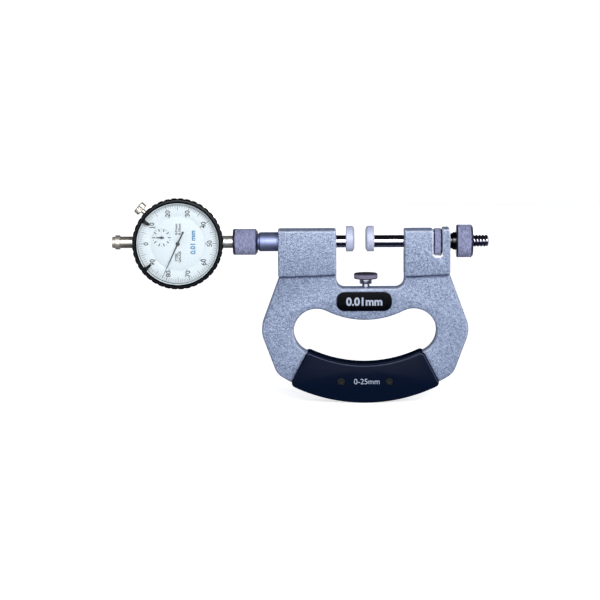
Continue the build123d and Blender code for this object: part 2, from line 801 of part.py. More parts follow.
ledge_in = case_in - ledge_w
front_ledge = plate_front + plate_t
with BuildPart() as indicator_case:
    add(
        spun(
            [
                (case_in, spigot_front),
                (spigot_r, spigot_front),
                (spigot_r, case_front),
                (case_r, case_front),
                (case_r, case_back),
                (case_in, case_back),
                (case_in, rear_plate_y),
                (ledge_in, rear_plate_y),
                (ledge_in, rear_plate_y - ledge_t),
                (case_in, rear_plate_y - ledge_t),
                (case_in, front_ledge + ledge_t),
                (ledge_in, front_ledge + ledge_t),
                (ledge_in, front_ledge),
                (case_in, front_ledge),
            ]
        )
    )
    with BuildSketch(plane_x(dial_x + case_r - case_wall / 2)):
        Circle(boss_d / 2)
    extrude(amount=case_wall + 1)
    with BuildSketch(plane_x(dial_x - case_r - case_wall / 2 - 0.2)):
        Circle(boss_d / 2)
    extrude(amount=case_wall + 1)
    with BuildSketch(radial_plane(clamp_angle, case_r - 1, clamp_y)):
        Circle(clamp_boss_r)
    extrude(amount=clamp_boss_l)
    with BuildSketch(radial_plane(clamp_angle, clamp_root_r - 1, clamp_y)):
        Circle(clamp_shank_r + RUNNING)
    extrude(amount=case_wall + clamp_boss_l + 2, mode=Mode.SUBTRACT)
    with BuildSketch(plane_x(dial_x)):
        Circle(stem_d / 2 + SEAT)
    extrude(amount=case_r + 5, mode=Mode.SUBTRACT)
    with BuildSketch(plane_x(dial_x)):
        Circle(tube_d / 2 + SEAT)
    extrude(amount=-case_r - 5, mode=Mode.SUBTRACT)
    with BuildSketch(front_plane(dial_x, case_back)):
        with PolarLocations(cover_screw_r, 4, start_angle=45):
            Circle(cover_post_r)
    extrude(amount=case_back - rear_plate_y - TOUCH)
    with BuildSketch(front_plane(dial_x, case_back)):
        with PolarLocations(cover_screw_r, 4, start_angle=45):
            Circle(cover_screw_d / 2 + SEAT)
    extrude(amount=post_hole_l, mode=Mode.SUBTRACT)
save(indicator_case.part, "indicator_case")

stem_root_x = dial_x + sqrt(case_in**2 - (stem_d / 2) ** 2) + 0.4
save(bush(stem_root_x, stem_end_x - stem_root_x, plunger_d / 2 + RUNNING, stem_d / 2), "indicator_stem")

tube_right_x = dial_x - sqrt(case_in**2 - (tube_d / 2) ** 2) - 0.4
tube_left_x = dial_x - case_r - tube_l
save(bush(tube_left_x, tube_right_x - tube_left_x, plunger_d / 2 + 0.3, tube_d / 2), "upper_tube")

cap_left_x = tube_left_x - cap_flange_t - cap_end_t
with BuildPart() as dust_cap:
    add(
        turned(
            [
                (cap_left_x, 0),
                (cap_left_x, cap_end_d / 2),
                (tube_left_x - cap_flange_t, cap_end_d / 2),
                (tube_left_x - cap_flange_t, cap_flange_d / 2),
                (tube_left_x, cap_flange_d / 2),
                (tube_left_x, plunger_d / 2 + 0.3),
                (tube_left_x - cap_flange_t, plunger_d / 2 + 0.3),
                (tube_left_x - cap_flange_t, 0),
            ]
        )
    )
save(dust_cap.part, "dust_cap")

with BuildPart() as back_cover:
    with BuildSketch(front_plane(dial_x, case_back + cover_t)):
        Circle(cover_r)
    extrude(amount=cover_t)
    chamfer(back_cover.edges().sort_by(Axis.Y)[-1], cover_chamfer)
    lug_y = case_back + cover_t + lug_reach
    with BuildSketch(Plane(origin=(dial_x, lug_y, -lug_t / 2), x_dir=(1, 0, 0), z_dir=(0, 0, 1))):
        Circle(lug_r)
        with Locations((0, -lug_reach / 2)):
            Rectangle(2 * lug_r, lug_reach)
    extrude(amount=lug_t)
    with BuildSketch(Plane(origin=(dial_x, lug_y, -lug_t / 2), x_dir=(1, 0, 0), z_dir=(0, 0, 1))):
        Circle(lug_hole_d / 2)
    extrude(amount=lug_t, mode=Mode.SUBTRACT)
    with BuildSketch(front_plane(dial_x, case_back + cover_t)):
        with PolarLocations(cover_screw_r, 4, start_angle=45):
            Circle(cover_screw_d / 2 + PASSING)
    extrude(amount=cover_t, mode=Mode.SUBTRACT)
save(back_cover.part, "back_cover")

with BuildPart() as cover_screws:
    with BuildSketch(front_plane(dial_x, case_back + cover_t + cover_head_t)):
        with PolarLocations(cover_screw_r, 4, start_angle=45):
            Circle(cover_head_r)
    extrude(amount=cover_head_t)
    with BuildSketch(front_plane(dial_x, case_back + cover_t)):
        with PolarLocations(cover_screw_r, 4, start_angle=45):
            Circle(cover_screw_d / 2)
    extrude(amount=cover_t + post_hole_l - 0.4)
save(cover_screws.part, "cover_screws")

# Bezel with its crystal and the scale ring that turns with it
crystal_back = crystal_front + crystal_t
seat_r = opening_r + 0.6
with BuildPart() as bezel:
    add(
        spun(
            [
                (opening_r + 0.2, crystal_front - 1.1),
                (opening_r + 1.6, bezel_front),
                (bezel_r - 1.0, bezel_front),
                (bezel_r - 0.3, bezel_front + 0.3),
                (bezel_r, bezel_front + 1.0),
                (bezel_r, bezel_back - 0.7),
                (bezel_r - 0.7, bezel_back),
                (spigot_r + RUNNING, bezel_back),
                (spigot_r + RUNNING, dial_front),
                (opening_r, dial_front),
                (opening_r, crystal_back + TOUCH),
                (seat_r, crystal_back + TOUCH),
                (seat_r, crystal_front - TOUCH),
                (opening_r, crystal_front - TOUCH),
                (opening_r, crystal_front - 0.35),
                (opening_r + 0.85, crystal_front - 0.35),
                (opening_r + 0.85, crystal_front - 1.05),
                (opening_r + 0.2, crystal_front - 1.05),
            ]
        )
    )
    with BuildSketch(front_plane(dial_x, bezel_back)):
        with PolarLocations(bezel_r - scallop_depth + scallop_r, scallops):
            Circle(scallop_r)
    extrude(amount=bezel_back - bezel_front, mode=Mode.SUBTRACT)
save(bezel.part, "bezel")

crystal_r = seat_r - TOUCH
crystal_rim = [(crystal_r, crystal_front), (crystal_r, crystal_back)]
save(spun([(0, crystal_front), *crystal_rim, (0, crystal_back)]), "crystal")

dial_back = dial_front + dial_t
scale_ring = spun(
    [
        (dial_split_r + 0.1, dial_front + SEAT),
        (spigot_r, dial_front + SEAT),
        (spigot_r, dial_back),
        (dial_split_r + 0.1, dial_back),
    ]
)
save(scale_ring, "scale_ring")


def limit_marker(angle):
    """Pointer that slides round the bezel's inner groove."""
    outer = opening_r + 0.85 - RUNNING
    inner = opening_r - 0.3
    plane = front_plane(dial_x, crystal_front - 0.4)
    with BuildPart() as marker:
        with BuildSketch(plane):
            with BuildLine():
                start, middle, end = (radians(angle + turn) for turn in (-6, 0, 6))
                ThreePointArc(*[(outer * cos(a), outer * sin(a)) for a in (start, middle, end)])
                Line((outer * cos(end), outer * sin(end)), (inner * cos(end), inner * sin(end)))
                ThreePointArc(*[(inner * cos(a), inner * sin(a)) for a in (end, middle, start)])
                Line((inner * cos(start), inner * sin(start)), (outer * cos(start), outer * sin(start)))
            make_face()
            with PolarLocations((marker_tip_r + inner + 0.5) / 2, 1, start_angle=angle):
                Rectangle(inner + 0.5 - marker_tip_r, marker_w)
        extrude(amount=0.6)
    return marker.part


for marker_name, marker_angle in marker_angles.items():
    save(limit_marker(marker_angle), marker_name)

with BuildPart() as bezel_clamp_screw:
    with BuildSketch(radial_plane(clamp_angle, clamp_head_r, clamp_y)):
        Circle(clamp_head_d / 2)
    extrude(amount=clamp_head_t)
    chamfer(bezel_clamp_screw.edges().filter_by(GeomType.CIRCLE), clamp_chamfer)
    with BuildSketch(radial_plane(clamp_angle, clamp_root_r, clamp_y)):
        Circle(clamp_shank_r)
    extrude(amount=clamp_head_r - clamp_root_r)
save(bezel_clamp_screw.part, "bezel_clamp_screw")


# Indicator movement
def gear_outline(teeth, module, phase):
    """Straight-flanked gear outline; phase turns the middle of a tooth to that angle in degrees."""
    pitch_angle = 2 * pi / teeth
    pitch_r = module * teeth / 2
    rising = [(-root_share, -tooth_root), (-tip_share, tooth_tip)]
    tooth = rising + [(tip_share, tooth_tip), (root_share, -tooth_root)]
    points = []
    for i in range(teeth):
        for step, height in tooth:
            angle = radians(phase) + (i + step) * pitch_angle
            radius = pitch_r + height * module
            points.append((radius * cos(angle), radius * sin(angle)))
    return points


def toothed(x, z, y_front, width, teeth, module, phase, hole_r=0.0):
    """Gear or pinion about an axis along Y at (x, z)."""
    with BuildPart() as gear:
        with BuildSketch(front_plane(x, y_front + width, z)):
            with BuildLine():
                Polyline(*gear_outline(teeth, module, phase), close=True)
            make_face()
            if hole_r:
                Circle(hole_r, mode=Mode.SUBTRACT)
        extrude(amount=width)
    return gear.part


def pin_y(x, z, y_front, y_back, radius):
    """Round pin along Y."""
    with BuildPart() as pin:
        with BuildSketch(front_plane(x, y_back, z)):
            Circle(radius)
        extrude(amount=y_back - y_front)
    return pin.part


mesh_angle = degrees(atan2(-pinion_drop, rack_gear_x - dial_x))
counter_angle = degrees(atan2(counter_rise, counter_x - dial_x))
gear_front = gear_y - gear_t / 2
plate_back = plate_front + plate_t
rack_line_z = -pinion_drop + pinion_r
rack_module = rack_pitch / pi
arbor_r = arbor_d / 2

with BuildPart() as rack_pinion:
    add(pin_y(rack_gear_x, -pinion_drop, plate_front + 0.1, rear_plate_y + 0.9, arbor_r))
    add(toothed(rack_gear_x, -pinion_drop, -1.5, 3.0, pinion_teeth, rack_module, 90))
save(rack_pinion.part, "rack_pinion")
rack_gear = toothed(
    rack_gear_x, -pinion_drop, gear_front, gear_t, gear_teeth, gear_module, mesh_angle, arbor_r + SEAT
)
save(rack_gear, "rack_gear")

half_tooth = 180 / centre_teeth
bridge_back = bridge_y + bridge_t / 2
bridge_front = bridge_y - bridge_t / 2
with BuildPart() as centre_pinion:
    add(pin_y(dial_x, 0, hand_y - hand_t, bridge_back - 0.1, pivot_r))
    add(toothed(dial_x, 0, gear_front - 0.2, gear_t + 0.4, centre_teeth, gear_module, mesh_angle + half_tooth))
save(centre_pinion.part, "centre_pinion")

# The counter gear meets the centre pinion where its own tooth stands between two of the pinion's
pinion_turn = ((counter_angle - mesh_angle - half_tooth) / (2 * half_tooth)) % 1.0
counter_phase = counter_angle + 180 + (0.5 - pinion_turn) * -(360 / gear_teeth)
counter_arbor = pin_y(counter_x, counter_rise, counter_hand_y - hand_t, bridge_back - 0.1, pivot_r)
save(counter_arbor, "counter_arbor")
counter_gear = toothed(
    counter_x, counter_rise, gear_front, gear_t, gear_teeth, gear_module, counter_phase, pivot_r + SEAT
)
save(counter_gear, "counter_gear")


def hand(x, z, y, angle, tip_r, tail_r, root_w, tip_w, hub_r):
    """Flat pointer with a round hub, from its tail to its tip along angle."""
    with BuildPart() as pointer:
        along = (cos(radians(angle)), 0, sin(radians(angle)))
        with BuildSketch(Plane(origin=(x, y, z), x_dir=along, z_dir=(0, -1, 0))):
            with BuildLine():
                tail = [(-tail_r, -root_w / 2), (-tail_r, root_w / 2)]
                Polyline(*tail, (tip_r, tip_w / 2), (tip_r, -tip_w / 2), close=True)
            make_face()
            Circle(hub_r)
            Circle(pivot_r + SEAT, mode=Mode.SUBTRACT)
        extrude(amount=hand_t)
    return pointer.part


save(hand(dial_x, 0, hand_y, hand_angle, hand_tip, hand_tail, 1.1, 0.25, 1.5), "main_hand")
save(hand(counter_x, counter_rise, counter_hand_y, 180, counter_tip, 1.6, 0.7, 0.2, 0.8), "counter_hand")

with BuildPart() as dial_centre:
    with BuildSketch(front_plane(dial_x, dial_back)):
        Circle(dial_split_r)
        Circle(1.0, mode=Mode.SUBTRACT)
        with Locations((counter_x - dial_x, counter_rise)):
            Circle(0.9, mode=Mode.SUBTRACT)
    extrude(amount=dial_t)
save(dial_centre.part, "dial_centre")

with BuildPart() as movement_plate:
    with BuildSketch(front_plane(dial_x, plate_back)):
        Circle(case_in - 0.1)
        Circle(pivot_r + RUNNING, mode=Mode.SUBTRACT)
        with Locations((counter_x - dial_x, counter_rise)):
            Circle(pivot_r + RUNNING, mode=Mode.SUBTRACT)
        with Locations((rack_gear_x - dial_x, -pinion_drop)):
            Circle(arbor_r + RUNNING, mode=Mode.SUBTRACT)
    extrude(amount=plate_t)
    with BuildSketch(front_plane(dial_x, plate_front)):
        with PolarLocations(dial_foot_pitch_r, 3, start_angle=90):
            Circle(dial_foot_r)
    extrude(amount=plate_front - dial_back)
    with BuildSketch(front_plane(dial_x, bridge_front)):
        with Locations((-pillar_x, -pillar_z), (pillar_x, pillar_z)):
            Circle(pillar_r)
    extrude(amount=bridge_front - plate_back)
save(movement_plate.part, "movement_plate")

with BuildPart() as movement_bridge:
    counter_dx = counter_x - dial_x
    with BuildSketch(front_plane(dial_x, bridge_back)):
        with Locations((-pillar_x, -pillar_z), (pillar_x, pillar_z)):
            Circle(bridge_end_r)
        Circle(bridge_hub_r)
        with Locations((counter_dx, counter_rise)):
            Circle(bridge_arm_r)
        bar = [(-pillar_x, -pillar_z), (pillar_x, pillar_z)]
        Polygon(*[(x + step, z) for (x, z), step in zip(bar + bar[::-1], (-2, -2, 2, 2))], align=None)
        arm_end = [(counter_dx, counter_rise + bridge_arm_r), (counter_dx, counter_rise - bridge_arm_r)]
        Polygon(*arm_end, (0, -bridge_arm_r), (0, bridge_arm_r), align=None)
        Circle(pivot_r + RUNNING, mode=Mode.SUBTRACT)
        with Locations((counter_dx, counter_rise)):
            Circle(pivot_r + RUNNING, mode=Mode.SUBTRACT)
    extrude(amount=bridge_t)
save(movement_bridge.part, "movement_bridge")

pin_x = dial_x - pin_back
with BuildPart() as rear_plate:
    with BuildSketch(front_plane(dial_x, rear_plate_y + plate_t)):
        Circle(case_in - 0.1)
        with Locations((rack_gear_x - dial_x, -pinion_drop)):
            Circle(arbor_r + RUNNING, mode=Mode.SUBTRACT)
        with Locations((pin_x - dial_x - rack_travel / 2, 0)):
            SlotOverall(rack_travel + 3.0, 1.6, mode=Mode.SUBTRACT)
        with PolarLocations(cover_screw_r, 4, start_angle=45):
            Circle(cover_post_r + 0.2, mode=Mode.SUBTRACT)
    extrude(amount=plate_t)
save(rear_plate.part, "rear_plate")

# Plunger: a rod with a rack on its lower side, its contact point, guide pin and return spring
plunger_r = plunger_d / 2
plunger_left_x = dial_x - case_r - 0.5
plunger_right_x = anvil_end_x - TOUCH - contact_l
rack_left_x = rack_gear_x - 2 * rack_pitch
rack_right_x = rack_left_x + rack_teeth * rack_pitch


def rack_outline():
    """Outline of what is milled off below the rack, tooth by tooth."""
    top = rack_line_z - tooth_tip * rack_module
    root = rack_line_z + tooth_root * rack_module
    points = [(rack_left_x, -plunger_d), (rack_left_x, top)]
    for i in range(rack_teeth):
        middle = rack_left_x + (i + 0.5) * rack_pitch
        for step, height in ((-root_share, root), (-tip_share, top), (tip_share, top), (root_share, root)):
            points.append((middle + step * rack_pitch, height))
    return points + [(rack_right_x, top), (rack_right_x, -plunger_d)]


with BuildPart() as plunger:
    outside = [(plunger_left_x, plunger_r), (plunger_right_x, plunger_r)]
    add(turned([(plunger_left_x, 0), *outside, (plunger_right_x, 0)]))
    with BuildSketch(front_plane(0, plunger_d)):
        with BuildLine():
            Polyline(*rack_outline(), close=True)
        make_face()
    extrude(amount=2 * plunger_d, mode=Mode.SUBTRACT)
    with BuildSketch(plane_x(plunger_right_x)):
        Circle(point_shank_r + SEAT)
    extrude(amount=-point_shank_l - 0.5, mode=Mode.SUBTRACT)
    with BuildSketch(front_plane(pin_x, 3.0)):
        Circle(guide_pin_r + SEAT)
    extrude(amount=3.0, mode=Mode.SUBTRACT)
save(plunger.part, "plunger")

with BuildPart() as contact_point:
    tip_x = plunger_right_x + contact_l
    with BuildSketch(Plane.XZ):
        with BuildLine():
            Polyline(
                (tip_x - ball_r, ball_r),
                (plunger_right_x + 1.0, plunger_r - 0.2),
                (plunger_right_x, plunger_r - 0.2),
                (plunger_right_x, point_shank_r),
                (plunger_right_x - point_shank_l, point_shank_r),
                (plunger_right_x - point_shank_l, 0),
                (tip_x, 0),
            )
            ThreePointArc(
                (tip_x, 0),
                (tip_x - ball_r + ball_r * cos(pi / 4), ball_r * sin(pi / 4)),
                (tip_x - ball_r, ball_r),
            )
        make_face()
    revolve(axis=Axis.X)
save(contact_point.part, "contact_point")

save(pin_y(pin_x, 0, 0.05, rear_plate_y + 0.8, guide_pin_r), "plunger_pin")
save(bush(pin_x - 3.2, 1.6, plunger_r + SEAT, plunger_r + 0.9), "plunger_collar")
spring_left_x = tube_right_x + 0.2
save(coil(spring_left_x, pin_x - 3.2 - spring_left_x, plunger_d + 1.1, 0.5, 6), "plunger_spring")

# Hairspring: a flat spiral of half turns that takes up the backlash of the train
with BuildPart() as hairspring:
    strip = 0.12
    step = 0.35
    with BuildSketch(front_plane(counter_x, bridge_front - 0.1, counter_rise)):
        for i in range(6):
            radius = 1.2 + i * step
            centre_shift = 0.0 if i % 2 == 0 else -step
            start = 0 if i % 2 == 0 else 180
            with BuildLine():
                outer = CenterArc((centre_shift, 0), radius + strip / 2, start, 180)
                inner = CenterArc((centre_shift, 0), radius - strip / 2, start, 180)
                Line(outer @ 0, inner @ 0)
                Line(outer @ 1, inner @ 1)
            make_face()
    extrude(amount=0.5)
save(hairspring.part, "hairspring")
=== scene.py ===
"""Looks of a dial snap gauge, laid out as an add-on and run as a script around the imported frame."""

from math import asin, atan2, cos, hypot, pi, radians, sin, sqrt, tan

import bmesh
import bpy
from mathutils import Matrix, Vector


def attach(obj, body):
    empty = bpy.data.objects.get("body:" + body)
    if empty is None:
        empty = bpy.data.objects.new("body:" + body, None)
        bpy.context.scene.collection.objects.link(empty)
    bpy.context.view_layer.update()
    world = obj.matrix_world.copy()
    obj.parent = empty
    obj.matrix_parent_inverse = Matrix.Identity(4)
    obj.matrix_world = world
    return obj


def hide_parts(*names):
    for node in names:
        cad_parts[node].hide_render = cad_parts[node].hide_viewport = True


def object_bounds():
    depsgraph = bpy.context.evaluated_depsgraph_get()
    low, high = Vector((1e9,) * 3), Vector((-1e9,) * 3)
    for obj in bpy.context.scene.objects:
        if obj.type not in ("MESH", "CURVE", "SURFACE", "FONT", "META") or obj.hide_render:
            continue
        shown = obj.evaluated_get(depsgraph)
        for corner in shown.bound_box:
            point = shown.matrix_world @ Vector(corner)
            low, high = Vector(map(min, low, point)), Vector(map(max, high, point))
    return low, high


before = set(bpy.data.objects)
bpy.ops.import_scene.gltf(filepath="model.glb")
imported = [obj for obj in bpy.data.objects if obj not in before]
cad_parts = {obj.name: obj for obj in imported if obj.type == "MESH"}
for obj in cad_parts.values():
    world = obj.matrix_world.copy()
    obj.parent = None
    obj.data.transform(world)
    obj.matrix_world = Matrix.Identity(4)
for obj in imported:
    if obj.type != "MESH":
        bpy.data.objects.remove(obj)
cad_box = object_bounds()

bl_info = {
    "name": "Dial snap gauge",
    "version": (1, 0, 0),
    "blender": (4, 5, 0),
    "location": "3D View > Sidebar > Gauge",
    "description": "Models and finishes a dial snap gauge around its packed frame",
    "category": "Object",
}

MM = 0.001


def srgb(red, green, blue):
    """Scene-linear colour from 0 to 255 screen values."""
    channels = [value / 255 for value in (red, green, blue)]
    return tuple(c / 12.92 if c <= 0.04045 else ((c + 0.055) / 1.055) ** 2.4 for c in channels)


# Sizes and colours that a user would change, lengths in millimetres


def length(name, default, description):
    return bpy.props.FloatProperty(name=name, default=default, description=description, min=0.0)


def colour(name, red, green, blue, description):
    shade = srgb(red, green, blue)
    return bpy.props.FloatVectorProperty(
        name=name, default=shade, description=description, subtype="COLOR", size=3, min=0.0, max=1.0
    )


class CastingSettings(bpy.types.PropertyGroup):
    bow_depth: length("Bow depth", 14.0, "Thickness of the bow, front to back")
    block_depth: length("Block depth", 20.0, "Thickness of both head blocks, front to back")
    rim_round: length("Rim rounding", 1.2, "Radius of the bow's cast edges")
    block_round: length("Block rounding", 1.0, "Radius of the head blocks' edges")
    light_paint: colour("Light paint", 146, 160, 188, "Hammertone paint on the domes")
    dark_paint: colour("Dark paint", 94, 107, 136, "Hammertone paint in the valleys")
    speckle: length("Speckle size", 0.95, "Size of the hammertone's ripples")


class GripSettings(bpy.types.PropertyGroup):
    moulding: colour("Moulding", 8, 18, 38, "Colour of the grip covers")
    letters: colour("Letters", 158, 170, 190, "Colour of the grip's printed range and the badge's figure")
    letter_height: length("Letter height", 3.5, "Height of the printed range")


class MetalSettings(bpy.types.PropertyGroup):
    chrome: colour("Chrome", 186, 186, 202, "Colour of the hard chromed rods")
    ground: colour("Ground steel", 184, 190, 216, "Colour of the two discs")
    knurled: colour("Knurled steel", 136, 140, 172, "Colour of the knurled nuts and wheel")
    knurl_pitch: length("Knurl pitch", 1.2, "Distance between the knurl's points")
    knurl_depth: length("Knurl depth", 0.25, "Depth of the knurl")
    thread_pitch: length("Thread pitch", 2.0, "Pitch of the spindle's thread")


class DialSettings(bpy.types.PropertyGroup):
    face: colour("Face", 212, 224, 230, "Colour of the dial face")
    ink: colour("Ink", 24, 34, 40, "Colour of the figures and ticks")
    blue_ink: colour("Blue ink", 14, 118, 172, "Colour of the value of one division")
    figure_height: length("Figure height", 2.9, "Height of the outer figures")
    bezel: colour("Bezel", 5, 8, 14, "Colour of the bezel")


# Modelling helpers


def clear_selection():
    """Leaves no object selected, in object mode."""
    if bpy.context.object and bpy.context.object.mode != "OBJECT":
        bpy.ops.object.mode_set(mode="OBJECT")
    bpy.ops.object.select_all(action="DESELECT")


def pick(piece):
    """Makes a piece the one selected and active object."""
    clear_selection()
    piece.select_set(True)
    bpy.context.view_layer.objects.active = piece


def empty_piece(name):
    """New mesh object at the origin."""
    piece = bpy.data.objects.new(name, bpy.data.meshes.new(name))
    bpy.context.scene.collection.objects.link(piece)
    pick(piece)
    return piece


def mend(piece):
    """Merges doubles and turns all faces outwards."""
    pick(piece)
    bpy.ops.object.mode_set(mode="EDIT")
    bpy.ops.mesh.select_all(action="SELECT")
    bpy.ops.mesh.remove_doubles(threshold=2e-6)
    bpy.ops.mesh.normals_make_consistent(inside=False)
    bpy.ops.object.mode_set(mode="OBJECT")


def apply_modifier(piece, kind, **settings):
    """Adds a modifier and applies it."""
    pick(piece)
    modifier = piece.modifiers.new(kind.title(), kind)
    for key, value in settings.items():
        setattr(modifier, key, value)
    bpy.ops.object.modifier_apply(modifier=modifier.name)


def soften(piece, width, segments=2, angle=35):
    """Rounds the sharp edges by a width in millimetres."""
    apply_modifier(
        piece, "BEVEL", width=width * MM, segments=segments, limit_method="ANGLE", angle_limit=radians(angle)
    )


def smooth(piece, angle=35):
    """Smooth shading, with edges sharper than the angle kept crisp."""
    pick(piece)
    bpy.ops.object.shade_smooth_by_angle(angle=radians(angle))
    return piece


def boolean(piece, tool, operation):
    """Joins a tool to a piece, or cuts it out, and removes the tool."""
    apply_modifier(piece, "BOOLEAN", object=tool, operation=operation, solver="EXACT")
    bpy.data.objects.remove(tool)


def join(pieces, name):
    """Joins pieces into one."""
    clear_selection()
    for piece in pieces:
        piece.select_set(True)
    bpy.context.view_layer.objects.active = pieces[0]
    bpy.ops.object.join()
    joined = bpy.context.object
    joined.name = joined.data.name = name
    return joined


def arc(centre, radius, start, end, count):
    """Points along an arc; angles in degrees."""
    angles = [radians(start + (end - start) * i / count) for i in range(count + 1)]
    return [(centre[0] + radius * cos(a), centre[1] + radius * sin(a)) for a in angles]


def rounded(corners, count=8):
    """Closed outline whose corners (x, z, radius) are rounded."""
    outline = []
    for i, (x, z, radius) in enumerate(corners):
        corner = Vector((x, z))
        if not radius:
            outline.append((x, z))
            continue
        before = (Vector(corners[i - 1][:2]) - corner).normalized()
        after = (Vector(corners[(i + 1) % len(corners)][:2]) - corner).normalized()
        half = before.angle(after) / 2
        centre = corner + (before + after).normalized() * radius / sin(half)
        first = corner + before * radius / tan(half) - centre
        last = corner + after * radius / tan(half) - centre
        start = atan2(first.y, first.x)
        sweep = atan2(first.x * last.y - first.y * last.x, first.dot(last))
        for k in range(count + 1):
            angle = start + sweep * k / count
            outline.append((centre.x + radius * cos(angle), centre.y + radius * sin(angle)))
    return outline


def plate(name, loops, front, back, edge=0.0, segments=3, shift=(0.0, 0.0), axis="Y"):
    """Flat piece from y front to back, or along Z, with outlines in the other two axes and rounded rims."""
    clear_selection()
    shape = bpy.data.curves.new(name, "CURVE")
    shape.dimensions = "2D"
    shape.fill_mode = "BOTH"
    for loop in loops:
        line = shape.splines.new("POLY")
        line.points.add(len(loop) - 1)
        for point, (x, z) in zip(line.points, loop):
            point.co = ((x + shift[0]) * MM, (z + shift[1]) * MM, 0, 1)
        line.use_cyclic_u = True
    shape.extrude = ((back - front) / 2 - edge) * MM
    shape.bevel_depth = edge * MM
    shape.bevel_resolution = segments
    shape.offset = -edge * MM
    piece = bpy.data.objects.new(name, shape)
    bpy.context.scene.collection.objects.link(piece)
    pick(piece)
    bpy.ops.object.convert(target="MESH")
    piece = bpy.context.object
    middle = (front + back) / 2 * MM
    if axis == "Y":
        piece.data.transform(Matrix.Translation((0, middle, 0)) @ Matrix.Rotation(pi / 2, 4, "X"))
    else:
        piece.data.transform(Matrix.Translation((0, 0, middle)))
    mend(piece)
    return piece


AXES = {
    "X": (Vector((1, 0, 0)), Vector((0, 0, 1))),
    "Y": (Vector((0, 1, 0)), Vector((1, 0, 0))),
    "Z": (Vector((0, 0, 1)), Vector((1, 0, 0))),
}


def lathe(name, profile, axis="X", centre=(0, 0, 0), steps=96, ring=False, edge=0.0, angle=35):
    """Turns a profile of (along, radius) points in millimetres about an axis; a ring's profile is closed."""
    along, outward = AXES[axis]
    piece = empty_piece(name)
    shape = bmesh.new()
    corners = [shape.verts.new((Vector(centre) + along * a + outward * r) * MM) for a, r in profile]
    for first, second in zip(corners, corners[1:] + (corners[:1] if ring else [])):
        shape.edges.new((first, second))
    shape.to_mesh(piece.data)
    shape.free()
    bpy.ops.object.mode_set(mode="EDIT")
    bpy.ops.mesh.select_all(action="SELECT")
    bpy.ops.mesh.spin(steps=steps, angle=2 * pi, center=Vector(centre) * MM, axis=along)
    bpy.ops.object.mode_set(mode="OBJECT")
    mend(piece)
    if edge:
        soften(piece, edge)
    return smooth(piece, angle)


def cylindrical(vertex, axis, centre):
    """(along, radius, angle) of a vertex about an axis, in millimetres and radians."""
    along, outward = AXES[axis]
    place = vertex.co / MM - Vector(centre)
    out, side = place.dot(outward), place.dot(along.cross(outward))
    return place.dot(along), hypot(out, side), atan2(side, out)


def move_radially(piece, axis, centre, rule):
    """Gives each vertex the radius that rule(along, radius, angle) returns."""
    along, outward = AXES[axis]
    side = along.cross(outward)
    for vertex in piece.data.vertices:
        a, radius, angle = cylindrical(vertex, axis, centre)
        new = rule(a, radius, angle)
        if abs(new - radius) > 1e-6:
            place = Vector(centre) + along * a + (outward * cos(angle) + side * sin(angle)) * new
            vertex.co = place * MM
    piece.data.update()


def band(start, end, radius, pitch):
    """Profile points along a straight band, two to each pitch, and the number of steps between them."""
    rows = max(2, 2 * round((end - start) / pitch))
    return [(start + (end - start) * i / rows, radius) for i in range(rows + 1)], rows


def facet(piece, axis, centre, radius, depth, on_band):
    """Splits each panel of a diamond knurl between its low corners, which makes each high point a pyramid."""
    shape = bmesh.new()
    shape.from_mesh(piece.data)
    for face in list(shape.faces):
        spots = [cylindrical(corner, axis, centre) for corner in face.verts]
        if not on_band(spots):
            continue
        low = [corner for corner, (_, r, _) in zip(face.verts, spots) if r < radius - depth / 2]
        if len(low) == 2 and len(face.verts) == 4:
            bmesh.utils.face_split(face, low[0], low[1])
    shape.to_mesh(piece.data)
    shape.free()


def mark_second(piece, belongs):
    """Gives a piece two slots and marks the faces that take its second finish."""
    for _ in range(2):
        piece.data.materials.append(None)
    for face in piece.data.polygons:
        face.material_index = int(belongs(face))


def knurled(name, before, start, end, radius, after, axis="X", centre=(0, 0, 0), ring=True, straight=False):
    """Turned piece with a knurled band between two runs of plain profile."""
    metal = bpy.context.scene.gauge_metal
    pitch = metal.knurl_pitch
    rows_points, rows = band(start, end, radius, pitch)
    count = round(2 * pi * radius / pitch)
    steps = 2 * count
    piece = lathe(name, before + rows_points + after, axis, centre, steps=steps, ring=ring, angle=20)

    def rule(a, r, angle):
        if abs(r - radius) > 0.01 or not start - 0.01 <= a <= end + 0.01:
            return r
        row = 0 if straight else round((a - start) / (end - start) * rows)
        column = round(angle / (2 * pi) * steps)
        return r - metal.knurl_depth * ((row + column) % 2)

    def on_band(spots):
        low = radius - metal.knurl_depth - 0.02
        return all(start - 0.01 <= a <= end + 0.01 and r > low for a, r, _ in spots)

    def on_rim(face):
        return not on_band([cylindrical(piece.data.vertices[i], axis, centre) for i in face.vertices])

    move_radially(piece, axis, centre, rule)
    if not straight:
        facet(piece, axis, centre, radius, metal.knurl_depth, on_band)
    smooth(piece, 20)
    mark_second(piece, on_rim)
    return piece


def lettering(name, items, y, depth=0.03, weight=0.0):
    """Printed figures facing the reader; items are (text, height, x, z, turn in degrees)."""
    pieces = []
    for text, height, x, z, turn in items:
        clear_selection()
        bpy.ops.object.text_add()
        words = bpy.context.object
        words.data.body = text
        words.data.size = height / 0.7 * MM
        words.data.align_x = "CENTER"
        words.data.align_y = "CENTER"
        words.data.extrude = depth / 2 * MM
        words.data.offset = weight * MM
        bpy.ops.object.convert(target="MESH")
        words = bpy.context.object
        middle = sum((Vector(corner) for corner in words.bound_box), Vector()) / 8
        words.data.transform(Matrix.Translation(-middle))
        place = Matrix.Translation((x * MM, (y - depth / 2) * MM, z * MM))
        turned = Matrix.Rotation(-radians(turn), 4, "Y") @ Matrix.Rotation(pi / 2, 4, "X")
        words.data.transform(place @ turned)
        words.matrix_world = Matrix.Identity(4)
        pieces.append(words)
    piece = join(pieces, name)
    mend(piece)
    return piece


